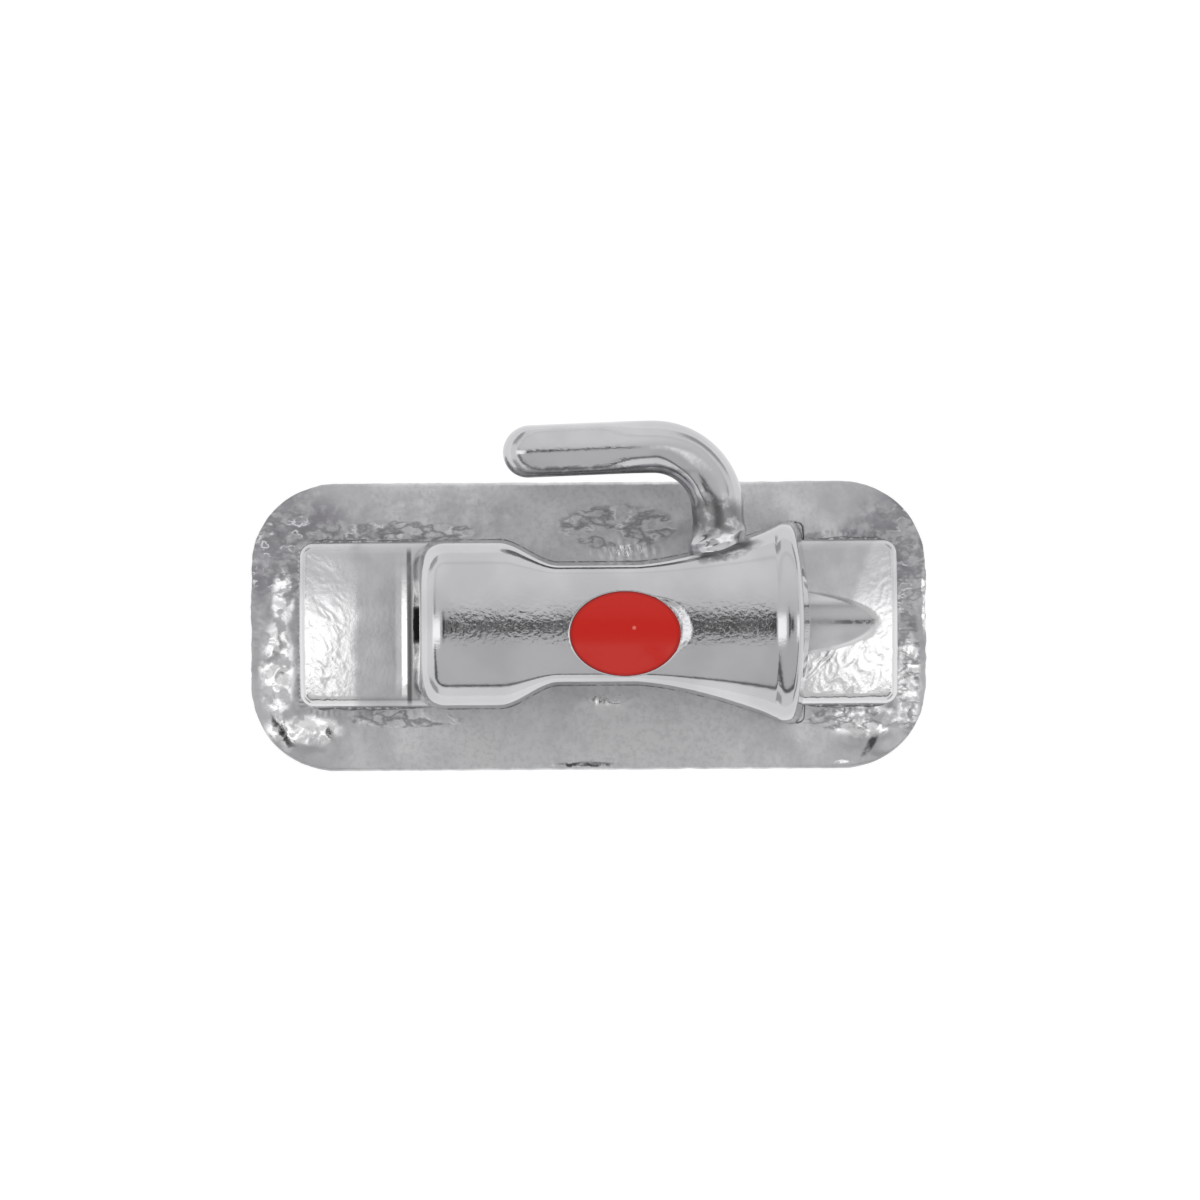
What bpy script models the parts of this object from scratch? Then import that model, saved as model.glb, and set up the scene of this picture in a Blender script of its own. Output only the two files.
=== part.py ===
# A buccal tube for a first molar: a thin weld pad bent to the tooth, a moulded
# steel tube with two end feet and a hook, and an oval red enamel mark.
#
# The origin is the middle of the pad's tooth side. +X runs towards the funnel
# mouth (mesial), +Y towards the hook (gingival), +Z away from the tooth.
# Sizes are in millimetres. A finished mesh is scaled to metres.

import math

import bmesh
import bpy
from mathutils import Matrix, Vector

METRES_PER_MM = 0.001

# Weld pad
PAD_LENGTH = 7.0
PAD_WIDTH = 2.97
PAD_THICKNESS = 0.13
PAD_CORNER_RADIUS = 0.9
PAD_EDGE_ROUNDING = 0.03
PAD_FLAT_LENGTH = 1.5
PAD_BEND_RADIUS = 9.0

# Seat of the tube body: the braze film under it, and its offset towards the hook
BRAZE_FILM = 0.02
BODY_OFFSET = 0.025

# End feet, which follow the pad past both ends of the tube
FOOT_DISTAL_REACH = 2.885
FOOT_MESIAL_REACH = 3.085
FOOT_WIDTH = 1.7
FOOT_HEIGHT = 0.45
FOOT_CORNER_RADIUS = 0.14
FOOT_EDGE_ROUNDING = 0.09

# Wire slot: width along Y, depth along Z
SLOT_WIDTH = 0.56
SLOT_DEPTH = 0.71
SLOT_FLOOR_HEIGHT = 0.43
SLOT_CORNER_RADIUS = 0.03
SLOT_LEAD_IN = 0.07

# Tube outside. Heights are above the body's seat.
BLOCK_END_X = -1.71
BLOCK_WIDTH = 1.74
BLOCK_HEIGHT = 1.52
BLOCK_SHOULDER_RADIUS = 0.36
BLOCK_CORNER_RADIUS = 0.26
BLOCK_CROWN_ROUNDING = 0.23
BLOCK_TAPER_X = -0.92
WAIST_START_X = -0.3
WAIST_WIDTH = 1.27
WAIST_HEIGHT = 1.5
WAIST_SHOULDER_RADIUS = 0.14
FLARE_START_X = 0.48
RIM_START_X = 1.95
RIM_WIDTH = 2.02
RIM_HEIGHT = 1.56
RIM_SHOULDER_RADIUS = 0.52
RIM_BEAD_RISE = 0.03
RIM_BEAD_HALF_LENGTH = 0.13
RIM_CORNER_RADIUS = 0.13
RIM_FACE_RADIUS = 4.5
FLARE_POWER = 1.5
CROWN_RADIUS = 1.85
FLANK_DRAFT = math.radians(1.5)
DISTAL_DRAFT = math.radians(5)
MESIAL_DRAFT = math.radians(3)
END_BLEND_LENGTH = 0.5

# Funnel mouth and the groove that leads out of it
FUNNEL_START_X = 1.2
FUNNEL_SIDE_FLARE = 0.32
FUNNEL_FLOOR_FLARE = 0.1
FUNNEL_ROOF_FLARE = 0.2
FUNNEL_MOUTH_RADIUS = 0.42
GROOVE_RADIUS = 0.42
GROOVE_FLOOR_HEIGHT = 0.19

# Hook: the straight arm's axis lies at HOOK_AXIS_Y, the stem's at HOOK_STEM_X
HOOK_DIAMETER = 0.54
HOOK_AXIS_Y = 1.815
HOOK_AXIS_HEIGHT = 1.06
HOOK_STEM_X = 1.335
HOOK_BEND_RADIUS = 0.66
HOOK_TIP_X = -0.87
HOOK_ROOT_FLARE = 0.08
HOOK_ROOT_LENGTH = 0.4
HOOK_ROOT_DEPTH = 0.12

# Oval pit on the crown, and the enamel in it
MARK_X = 0.376
MARK_OFFSET_Y = -0.105
PIT_LENGTH = 1.15
PIT_WIDTH = 0.88
PIT_DEPTH = 0.1
ENAMEL_CLEARANCE = 0.015
ENAMEL_SINK = 0.015
ENAMEL_DOME = 0.02

# Smoothness of the curved parts
BEND_STEPS = 10
CORNER_STEPS = 6
ROUNDING_STEPS = 3
ROUND_PROFILE = 0.5
RIM_FACE_STRIPS = 8
SHOULDER_STEPS = 4
CROWN_STEPS = 10
HOOK_SIDES = 20
HOOK_STEPS = 9
PIT_SIDES = 40
PIT_STRIPS = 8
SHARP_EDGE_ANGLE = math.radians(35)

# Points closer together than this are one point
WELD_DISTANCE = 1e-5

SEAT_Z = PAD_THICKNESS + BRAZE_FILM
SLOT_FLOOR_Z = SEAT_Z + SLOT_FLOOR_HEIGHT
SLOT_AXIS_Z = SLOT_FLOOR_Z + SLOT_DEPTH / 2
RIM_END_X = RIM_START_X + RIM_BEAD_HALF_LENGTH + RIM_CORNER_RADIUS


def clear_scene():
    for leftover in list(bpy.data.objects):
        bpy.data.objects.remove(leftover, do_unlink=True)


def blend(start, end, value):
    """Goes smoothly from 0 at start to 1 at end."""
    share = min(max((value - start) / (end - start), 0.0), 1.0)
    return share * share * (3 - 2 * share)


def arc(centre, radius, first, last, steps):
    """Points of a plane arc, both ends included."""
    angles = [first + (last - first) * step / steps for step in range(steps + 1)]
    return [
        (centre[0] + radius * math.cos(angle), centre[1] + radius * math.sin(angle))
        for angle in angles
    ]


def rounded_rectangle(width, height, radius, steps):
    """Anticlockwise outline round the origin, with an arc at each corner."""
    points = []
    for turn, (side_x, side_y) in enumerate([(1, 1), (-1, 1), (-1, -1), (1, -1)]):
        centre = (side_x * (width / 2 - radius), side_y * (height / 2 - radius))
        first = turn * math.pi / 2
        points += arc(centre, radius, first, first + math.pi / 2, steps)
    return points


def on_tooth_curve(flat):
    """Wraps a point of the flat pad layout round the tooth."""
    reach = abs(flat.x) - PAD_FLAT_LENGTH / 2
    if reach <= 0:
        return flat.copy()
    angle = reach / PAD_BEND_RADIUS
    radius = PAD_BEND_RADIUS + flat.z
    x = PAD_FLAT_LENGTH / 2 + radius * math.sin(angle)
    return Vector((math.copysign(x, flat.x), flat.y, radius * math.cos(angle) - PAD_BEND_RADIUS))


def bend_stations():
    """Lines across the pad between its flat strips."""
    bent_length = (PAD_LENGTH - PAD_FLAT_LENGTH) / 2
    reaches = [PAD_FLAT_LENGTH / 2 + bent_length * step / BEND_STEPS for step in range(BEND_STEPS)]
    return [-reach for reach in reversed(reaches)] + reaches


def slice_at(bm, positions, normal, faces=None):
    """Adds an edge line where each plane across the normal meets the faces, or all of the mesh."""
    faces = set(faces or bm.faces)
    for position in positions:
        geometry = faces | {edge for face in faces for edge in face.edges}
        geometry |= {vert for face in faces for vert in face.verts}
        cut = bmesh.ops.bisect_plane(
            bm,
            geom=list(geometry),
            plane_co=Vector(normal) * position,
            plane_no=normal,
            dist=WELD_DISTANCE,
        )
        faces = {part for part in cut["geom"] if isinstance(part, bmesh.types.BMFace)}


def plate(outline, low, high, top_rounding):
    """A bent plate: the outline raised from low to high, its top edge rounded, wrapped on the tooth."""
    bm = bmesh.new()
    face = bm.faces.new([bm.verts.new((x, y, low)) for x, y in outline])
    raised = bmesh.ops.extrude_face_region(bm, geom=[face])["geom"]
    top = [vert for vert in raised if isinstance(vert, bmesh.types.BMVert)]
    bmesh.ops.translate(bm, verts=top, vec=(0, 0, high - low))
    bmesh.ops.recalc_face_normals(bm, faces=bm.faces[:])
    if top_rounding > 0:
        top_verts = set(top)
        edges = [edge for edge in bm.edges if set(edge.verts) <= top_verts]
        bmesh.ops.bevel(
            bm,
            geom=edges,
            offset=top_rounding,
            segments=ROUNDING_STEPS,
            profile=ROUND_PROFILE,
            affect="EDGES",
            material=-1,
        )
    slice_at(bm, bend_stations(), (1, 0, 0))
    for vert in bm.verts:
        vert.co = on_tooth_curve(vert.co)
    return bm


def lofted(rings):
    """A closed solid through rings of points that all have the same count."""
    bm = bmesh.new()
    loops = []
    for points in rings:
        verts = [bm.verts.new(point) for point in points]
        loops.append([bm.edges.new(pair) for pair in zip(verts, verts[1:] + verts[:1])])
    ends = loops[0] + loops[-1]
    for near, far in zip(loops, loops[1:]):
        bmesh.ops.bridge_loops(bm, edges=near + far)
    bmesh.ops.holes_fill(bm, edges=ends, sides=0)
    bmesh.ops.recalc_face_normals(bm, faces=bm.faces[:])
    return bm


def helper_object(bm):
    mesh = bpy.data.meshes.new("helper")
    bm.to_mesh(mesh)
    bm.free()
    helper = bpy.data.objects.new("helper", mesh)
    bpy.context.collection.objects.link(helper)
    return helper


def combined(base, other, operation):
    """The union or the difference of two closed solids, at working size."""
    kept = helper_object(base)
    tool = helper_object(other)
    boolean = kept.modifiers.new(operation.lower(), "BOOLEAN")
    boolean.operation = operation
    boolean.solver = "EXACT"
    boolean.object = tool
    graph = bpy.context.evaluated_depsgraph_get()
    evaluated = kept.evaluated_get(graph)
    result = bmesh.new()
    result.from_mesh(evaluated.to_mesh())
    evaluated.to_mesh_clear()
    for helper in (kept, tool):
        mesh = helper.data
        bpy.data.objects.remove(helper)
        bpy.data.meshes.remove(mesh)
    bmesh.ops.remove_doubles(result, verts=result.verts[:], dist=WELD_DISTANCE)
    return result


def along(x, block, waist, rim):
    """One measure of the tube at x: the block's, a smooth step to the waist's, a flare to the rim's."""
    if x < FLARE_START_X:
        return block + (waist - block) * blend(BLOCK_TAPER_X, WAIST_START_X, x)
    share = min((x - FLARE_START_X) / (RIM_START_X - FLARE_START_X), 1.0)
    return waist + (rim - waist) * share**FLARE_POWER


def rim_bead(x):
    """How far the bead round the mouth stands out, and then rounds down to the mesial face."""
    beyond_start = x - RIM_START_X
    if beyond_start <= 0:
        return 0.0
    if beyond_start < RIM_BEAD_HALF_LENGTH:
        return RIM_BEAD_RISE * math.sin(beyond_start / RIM_BEAD_HALF_LENGTH * math.pi / 2)
    return RIM_BEAD_RISE - corner_drop(RIM_END_X - x, RIM_CORNER_RADIUS)


def corner_drop(depth, radius):
    """How far a rounded corner draws the surface in, at a depth behind the end face."""
    inside = min(max(radius - depth, 0.0), radius)
    return radius - math.sqrt(radius**2 - inside**2)


def half_width(x):
    value = along(x, BLOCK_WIDTH / 2, WAIST_WIDTH / 2, RIM_WIDTH / 2)
    return value + rim_bead(x) - corner_drop(x - BLOCK_END_X, BLOCK_CORNER_RADIUS)


def crown_z(x):
    value = along(x, BLOCK_HEIGHT, WAIST_HEIGHT, RIM_HEIGHT)
    return SEAT_Z + value + rim_bead(x) - corner_drop(x - BLOCK_END_X, BLOCK_CROWN_ROUNDING)


class Section:
    """Upper outline of the tube across X: a crown arc between two shoulder arcs and drafted flanks."""

    def __init__(self, x):
        half = half_width(x)
        shoulder = along(x, BLOCK_SHOULDER_RADIUS, WAIST_SHOULDER_RADIUS, RIM_SHOULDER_RADIUS)
        self.crown_centre_z = crown_z(x) - CROWN_RADIUS
        self.half = half
        self.shoulder = shoulder
        slope = math.tan(FLANK_DRAFT)
        reach = half - shoulder / math.cos(FLANK_DRAFT) + SEAT_Z * slope
        inner = CROWN_RADIUS - shoulder
        mean = reach * slope + self.crown_centre_z
        rest = reach**2 + self.crown_centre_z**2 - inner**2
        root = math.sqrt(mean**2 - (1 + slope**2) * rest)
        self.shoulder_z = (mean + root) / (1 + slope**2)
        self.shoulder_y = reach - self.shoulder_z * slope
        self.shoulder_angle = math.atan2(self.shoulder_z - self.crown_centre_z, self.shoulder_y)

    def outline(self, low):
        """Points from the +Y foot over the crown to the -Y foot."""
        foot = self.half - (low - SEAT_Z) * math.tan(FLANK_DRAFT)
        angle = self.shoulder_angle
        near = arc((self.shoulder_y, self.shoulder_z), self.shoulder, FLANK_DRAFT, angle, SHOULDER_STEPS)
        crown = arc((0, self.crown_centre_z), CROWN_RADIUS, angle, math.pi - angle, CROWN_STEPS)
        far = [(-y, z) for y, z in reversed(near)]
        return [(foot, low)] + near + crown[1:-1] + far + [(-foot, low)]

    def height(self, y):
        """Height of the outer skin at a distance y from the tube's axis."""
        y = abs(y)
        if y <= CROWN_RADIUS * math.cos(self.shoulder_angle):
            return self.crown_centre_z + math.sqrt(CROWN_RADIUS**2 - y**2)
        over = min(y - self.shoulder_y, self.shoulder)
        return self.shoulder_z + math.sqrt(self.shoulder**2 - over**2)


def tube_stations():
    """Places along X where the tube's section is taken, closer together on its roundings."""
    distal = [
        BLOCK_END_X + BLOCK_CORNER_RADIUS * (1 - math.cos(step * math.pi / 2 / CORNER_STEPS))
        for step in range(CORNER_STEPS + 1)
    ]
    taper = [
        BLOCK_TAPER_X + (WAIST_START_X - BLOCK_TAPER_X) * step / CORNER_STEPS
        for step in range(CORNER_STEPS + 1)
    ]
    flare = [
        FLARE_START_X + (RIM_START_X - FLARE_START_X) * step / CORNER_STEPS
        for step in range(CORNER_STEPS + 1)
    ]
    bead_crest_x = RIM_START_X + RIM_BEAD_HALF_LENGTH
    bead = [RIM_START_X + RIM_BEAD_HALF_LENGTH / 2, bead_crest_x]
    corner = [
        bead_crest_x + RIM_CORNER_RADIUS * math.sin(step * math.pi / 2 / CORNER_STEPS)
        for step in range(1, CORNER_STEPS + 1)
    ]
    return distal + taper + flare + bead + corner


def lean_ends(vert):
    """Drafts both end faces outwards towards the pad and bows the rim's face."""
    distal = 1 - blend(BLOCK_END_X, BLOCK_END_X + END_BLEND_LENGTH, vert.co.x)
    mesial = blend(RIM_END_X - END_BLEND_LENGTH, RIM_END_X, vert.co.x)
    below_block = SEAT_Z + BLOCK_HEIGHT - vert.co.z
    below_rim = SEAT_Z + RIM_HEIGHT - vert.co.z
    bow = vert.co.y**2 / (2 * RIM_FACE_RADIUS)
    vert.co.x += mesial * (below_rim * math.tan(MESIAL_DRAFT) - bow)
    vert.co.x -= distal * below_block * math.tan(DISTAL_DRAFT)


def tube_shell():
    """The tube's outside, run down below the pad so that the seat cut can trim it."""
    low = -PAD_THICKNESS - FOOT_HEIGHT
    rings = [[(x, y, z) for y, z in Section(x).outline(low)] for x in tube_stations()]
    bm = lofted(rings)
    rim_face = max(bm.faces, key=lambda face: face.calc_center_median().x)
    strips = [(2 * step / RIM_FACE_STRIPS - 1) * RIM_WIDTH / 2 for step in range(1, RIM_FACE_STRIPS)]
    slice_at(bm, strips, (0, 1, 0), [rim_face])
    for vert in bm.verts:
        lean_ends(vert)
    return bm


def foot(outer_x, inner_x):
    """One end foot, from its free end to where it is buried in the tube."""
    outline = rounded_rectangle(abs(outer_x - inner_x), FOOT_WIDTH, FOOT_CORNER_RADIUS, CORNER_STEPS)
    outline = [(x + (outer_x + inner_x) / 2, y) for x, y in outline]
    return plate(outline, SEAT_Z - PAD_THICKNESS, SEAT_Z + FOOT_HEIGHT, FOOT_EDGE_ROUNDING)


def hook_frames():
    """Centre, direction and radius of each ring of the hook, from the tip to inside the tube's flank."""
    radius = HOOK_DIAMETER / 2
    height = SEAT_Z + HOOK_AXIS_HEIGHT
    frames = []
    for step in range(1, HOOK_STEPS + 1):
        angle = step * math.pi / 2 / HOOK_STEPS
        x = HOOK_TIP_X + radius * (1 - math.cos(angle))
        frames.append((Vector((x, HOOK_AXIS_Y, height)), 0.0, radius * math.sin(angle)))
    centre = Vector((HOOK_STEM_X - HOOK_BEND_RADIUS, HOOK_AXIS_Y - HOOK_BEND_RADIUS, height))
    for step in range(HOOK_STEPS + 1):
        angle = step * math.pi / 2 / HOOK_STEPS
        offset = Vector((math.sin(angle), math.cos(angle), 0)) * HOOK_BEND_RADIUS
        frames.append((centre + offset, -angle, radius))
    root_y = half_width(HOOK_STEM_X - HOOK_DIAMETER) - HOOK_ROOT_DEPTH
    for step in range(1, HOOK_STEPS + 1):
        y = centre.y + (root_y - centre.y) * step / HOOK_STEPS
        near = max(1 - (y - root_y) / HOOK_ROOT_LENGTH, 0.0)
        frames.append((Vector((HOOK_STEM_X, y, height)), -math.pi / 2, radius + HOOK_ROOT_FLARE * near**2))
    return frames


def hook():
    rings = []
    for centre, turn, radius in hook_frames():
        ring = arc((0, 0), radius, 0, 2 * math.pi, HOOK_SIDES)[:-1]
        facing = Matrix.Rotation(turn, 3, "Z")
        rings.append([centre + facing @ Vector((0, across, up)) for across, up in ring])
    bm = lofted(rings)
    tip = bm.verts.new((HOOK_TIP_X, HOOK_AXIS_Y, SEAT_Z + HOOK_AXIS_HEIGHT))
    end_face = min(bm.faces, key=lambda face: face.calc_center_median().x)
    rim = end_face.verts[:]
    bm.faces.remove(end_face)
    for first, second in zip(rim, rim[1:] + rim[:1]):
        bm.faces.new((first, second, tip))
    bmesh.ops.recalc_face_normals(bm, faces=bm.faces[:])
    return bm


def seat_block():
    """Everything below the body's seat on the pad."""
    low = -PAD_THICKNESS - 2 * FOOT_HEIGHT
    half_length = PAD_LENGTH / 2 + PAD_THICKNESS
    outline = [
        (-half_length, -PAD_WIDTH),
        (half_length, -PAD_WIDTH),
        (half_length, PAD_WIDTH),
        (-half_length, PAD_WIDTH),
    ]
    return plate(outline, low, SEAT_Z, 0)


def slot_and_funnel():
    """The wire's way through: lead-in at the distal end, slot, and funnel to the mesial mouth."""
    slot = (SLOT_WIDTH, SLOT_DEPTH, SLOT_CORNER_RADIUS, 0.0)
    lead_in = (SLOT_WIDTH + 2 * SLOT_LEAD_IN, SLOT_DEPTH + SLOT_LEAD_IN, SLOT_LEAD_IN, SLOT_LEAD_IN / 2)
    mouth = (
        SLOT_WIDTH + 2 * FUNNEL_SIDE_FLARE,
        SLOT_DEPTH + FUNNEL_FLOOR_FLARE + FUNNEL_ROOF_FLARE,
        FUNNEL_MOUTH_RADIUS,
        (FUNNEL_ROOF_FLARE - FUNNEL_FLOOR_FLARE) / 2,
    )
    face_x = BLOCK_END_X - (SEAT_Z + BLOCK_HEIGHT - SLOT_AXIS_Z) * math.tan(DISTAL_DRAFT)
    stations = [
        (face_x - BLOCK_WIDTH, lead_in),
        (face_x, lead_in),
        (face_x + SLOT_LEAD_IN, slot),
        (FUNNEL_START_X, slot),
        (RIM_END_X + RIM_CORNER_RADIUS, mouth),
    ]
    rings = []
    for x, (width, depth, radius, lift) in stations:
        outline = rounded_rectangle(width, depth, radius, CORNER_STEPS)
        rings.append([(x, y, SLOT_AXIS_Z + lift + z) for y, z in outline])
    return lofted(rings)


def mouth_groove():
    """The round groove that runs out of the funnel along the mesial foot."""
    axis_z = SEAT_Z + GROOVE_FLOOR_HEIGHT + GROOVE_RADIUS
    circle = arc((0, axis_z), GROOVE_RADIUS, 0, 2 * math.pi, 4 * CORNER_STEPS)[:-1]
    ends = (RIM_START_X, FOOT_MESIAL_REACH + PAD_THICKNESS)
    return lofted([[(x, y, z) for y, z in circle] for x in ends])


def oval_block(length, width, low, high, dome=0.0):
    """An upright oval solid at the mark's place, its ends low and high from the tube's skin."""
    bm = bmesh.new()
    bmesh.ops.create_circle(bm, cap_ends=True, segments=PIT_SIDES, radius=1)
    strips = [2 * step / PIT_STRIPS - 1 for step in range(1, PIT_STRIPS)]
    slice_at(bm, strips, (1, 0, 0))
    slice_at(bm, strips, (0, 1, 0))
    raised = bmesh.ops.extrude_face_region(bm, geom=bm.faces[:])["geom"]
    top = {vert for vert in raised if isinstance(vert, bmesh.types.BMVert)}
    for vert in bm.verts:
        edge_share = min(vert.co.x**2 + vert.co.y**2, 1.0)
        x = MARK_X + vert.co.x * length / 2
        y = MARK_OFFSET_Y + vert.co.y * width / 2
        above_skin = high + dome * (1 - edge_share) if vert in top else low
        vert.co = (x, y, Section(x).height(y) + above_skin)
    bmesh.ops.recalc_face_normals(bm, faces=bm.faces[:])
    return bm


def base_pad():
    outline = rounded_rectangle(PAD_LENGTH, PAD_WIDTH, PAD_CORNER_RADIUS, 2 * CORNER_STEPS)
    return plate(outline, 0, PAD_THICKNESS, PAD_EDGE_ROUNDING)


def tube_body():
    distal_foot = foot(-FOOT_DISTAL_REACH, BLOCK_END_X + BLOCK_CORNER_RADIUS)
    mesial_foot = foot(FOOT_MESIAL_REACH, RIM_START_X - RIM_BEAD_HALF_LENGTH)
    body = tube_shell()
    for added in (distal_foot, mesial_foot, hook()):
        body = combined(body, added, "UNION")
    pit = oval_block(PIT_LENGTH, PIT_WIDTH, -PIT_DEPTH, PIT_DEPTH)
    for cutter in (seat_block(), slot_and_funnel(), mouth_groove(), pit):
        body = combined(body, cutter, "DIFFERENCE")
    bmesh.ops.translate(body, verts=body.verts[:], vec=(0, BODY_OFFSET, 0))
    return body


def id_mark():
    length = PIT_LENGTH - 2 * ENAMEL_CLEARANCE
    width = PIT_WIDTH - 2 * ENAMEL_CLEARANCE
    mark = oval_block(length, width, ENAMEL_CLEARANCE - PIT_DEPTH, -ENAMEL_SINK, ENAMEL_DOME)
    bmesh.ops.translate(mark, verts=mark.verts[:], vec=(0, BODY_OFFSET, 0))
    return mark


def material(name, colour, roughness, metallic):
    made = bpy.data.materials.new(name)
    made.use_nodes = True
    shader = made.node_tree.nodes["Principled BSDF"]
    shader.inputs["Base Color"].default_value = (*colour, 1.0)
    shader.inputs["Roughness"].default_value = roughness
    shader.inputs["Metallic"].default_value = metallic
    return made


def add_part(name, bm, finish):
    bmesh.ops.scale(bm, vec=(METRES_PER_MM,) * 3, verts=bm.verts[:])
    mesh = bpy.data.meshes.new(name)
    bm.to_mesh(mesh)
    bm.free()
    mesh.shade_smooth()
    mesh.set_sharp_from_angle(angle=SHARP_EDGE_ANGLE)
    mesh.materials.append(finish)
    bpy.context.collection.objects.link(bpy.data.objects.new(name, mesh))


clear_scene()
add_part("base_pad", base_pad(), material("stamped_steel", (0.50, 0.50, 0.51), 0.22, 1.0))
add_part("tube_body", tube_body(), material("moulded_steel", (0.58, 0.58, 0.59), 0.15, 1.0))
add_part("id_mark", id_mark(), material("red_enamel", (0.56, 0.02, 0.015), 0.2, 0.0))
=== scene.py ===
# %% [markdown]
# A buccal tube is the small steel part that holds the end of a brace's wire on a molar.
# This one has a thin weld pad bent to the tooth, a moulded tube with two end feet and a hook,
# and an oval of red enamel on the crown. The CAD model gives every size. This lesson rebuilds
# the same shapes with finer steps, softens their edges as tumbling does, adds the braze and the
# creases of the thin sheet, and then finishes and lights them.

# %% Load the frame
import math

import bmesh
import bpy
from mathutils import Matrix, Vector, noise


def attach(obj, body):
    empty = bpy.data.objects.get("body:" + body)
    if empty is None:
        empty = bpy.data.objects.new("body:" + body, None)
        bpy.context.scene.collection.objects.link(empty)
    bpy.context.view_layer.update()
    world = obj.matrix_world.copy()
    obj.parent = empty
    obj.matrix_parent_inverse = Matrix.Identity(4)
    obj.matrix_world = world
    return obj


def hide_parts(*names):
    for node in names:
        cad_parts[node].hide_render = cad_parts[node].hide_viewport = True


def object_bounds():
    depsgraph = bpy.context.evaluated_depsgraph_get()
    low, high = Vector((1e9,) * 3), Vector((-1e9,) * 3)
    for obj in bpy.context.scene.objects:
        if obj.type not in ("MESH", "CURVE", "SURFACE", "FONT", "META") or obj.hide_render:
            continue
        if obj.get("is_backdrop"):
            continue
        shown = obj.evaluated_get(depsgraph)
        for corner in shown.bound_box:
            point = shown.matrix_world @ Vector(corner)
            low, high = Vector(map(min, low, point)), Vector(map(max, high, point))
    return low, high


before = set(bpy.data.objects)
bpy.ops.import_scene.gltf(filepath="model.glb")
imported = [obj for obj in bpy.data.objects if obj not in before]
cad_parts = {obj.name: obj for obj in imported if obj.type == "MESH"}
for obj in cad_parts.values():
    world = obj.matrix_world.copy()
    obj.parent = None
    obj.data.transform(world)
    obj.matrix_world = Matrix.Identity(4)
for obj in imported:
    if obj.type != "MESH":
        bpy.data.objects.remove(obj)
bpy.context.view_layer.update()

# %% [markdown]
# Sizes are in millimetres, as on a drawing, and a finished mesh is scaled to metres once.
# They repeat the driving dimensions of the CAD source, because the script may read only the
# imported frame. Everything else is worked out from them.

# %% Driving sizes
METRES_PER_MM = 0.001

PAD_LENGTH = 7.0
PAD_WIDTH = 2.97
PAD_THICKNESS = 0.13
PAD_CORNER_RADIUS = 0.9
PAD_FLAT_LENGTH = 1.5
PAD_BEND_RADIUS = 9.0
SEAT_Z = 0.15
BODY_OFFSET = 0.025

FOOT_DISTAL_REACH = 2.885
FOOT_MESIAL_REACH = 3.085
FOOT_WIDTH = 1.7
FOOT_HEIGHT = 0.45
FOOT_CORNER_RADIUS = 0.14
FOOT_EDGE_ROUNDING = 0.11

SLOT_WIDTH = 0.56
SLOT_DEPTH = 0.71
SLOT_CORNER_RADIUS = 0.03
SLOT_LEAD_IN = 0.07
LEAD_IN_SIDE = 0.13
LEAD_IN_ROUNDNESS = 0.26
SLOT_AXIS_Z = 0.935

BLOCK_END_X = -1.71
BLOCK_WIDTH = 1.74
BLOCK_HEIGHT = 1.52
BLOCK_SHOULDER_RADIUS = 0.36
BLOCK_CORNER_RADIUS = 0.26
BLOCK_CROWN_ROUNDING = 0.23
BLOCK_TAPER_X = -0.92
WAIST_START_X = -0.3
WAIST_WIDTH = 1.27
WAIST_HEIGHT = 1.5
WAIST_SHOULDER_RADIUS = 0.14
FLARE_START_X = 0.48
RIM_START_X = 1.95
RIM_WIDTH = 2.02
RIM_HEIGHT = 1.56
RIM_SHOULDER_RADIUS = 0.52
RIM_BEAD_RISE = 0.03
RIM_BEAD_HALF_LENGTH = 0.13
RIM_CORNER_RADIUS = 0.13
RIM_FACE_RADIUS = 4.5
RIM_END_X = RIM_START_X + RIM_BEAD_HALF_LENGTH + RIM_CORNER_RADIUS
RIM_CREST_RADIUS = 0.36
RIM_EDGE_RADIUS = 0.06
FLARE_POWER = 1.5
CROWN_RADIUS = 1.85
FLANK_DRAFT = math.radians(1.5)
DISTAL_DRAFT = math.radians(5)
MESIAL_DRAFT = math.radians(3)
END_BLEND_LENGTH = 0.5

FUNNEL_START_X = 1.2
FUNNEL_SIDE_FLARE = 0.32
FUNNEL_FLOOR_FLARE = 0.1
FUNNEL_ROOF_FLARE = 0.2
FUNNEL_MOUTH_RADIUS = 0.42
GROOVE_RADIUS = 0.42
GROOVE_AXIS_Z = 0.76

HOOK_RADIUS = 0.27
HOOK_AXIS_Y = 1.815
HOOK_AXIS_Z = 1.21
HOOK_STEM_X = 1.335
HOOK_BEND_RADIUS = 0.66
HOOK_TIP_X = -0.87
HOOK_ROOT_FLARE = 0.08
HOOK_ROOT_LENGTH = 0.4
HOOK_ROOT_DEPTH = 0.12

MARK_X = 0.376
MARK_Y = -0.105
PIT_LENGTH = 1.15
PIT_WIDTH = 0.88
PIT_DEPTH = 0.1

# %% [markdown]
# Each form here is a skin through rings of points. A modeller would extrude the edge loop of a
# profile from station to station and set each new loop to its section. The helper below does
# exactly that, so one routine makes the tube, the hook, the feet and the pad, and the forms
# differ only in their sections. Loops that meet at a seam or a pole are welded at the end.

# %% Skin through rings
WELD_DISTANCE = 2e-7


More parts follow.
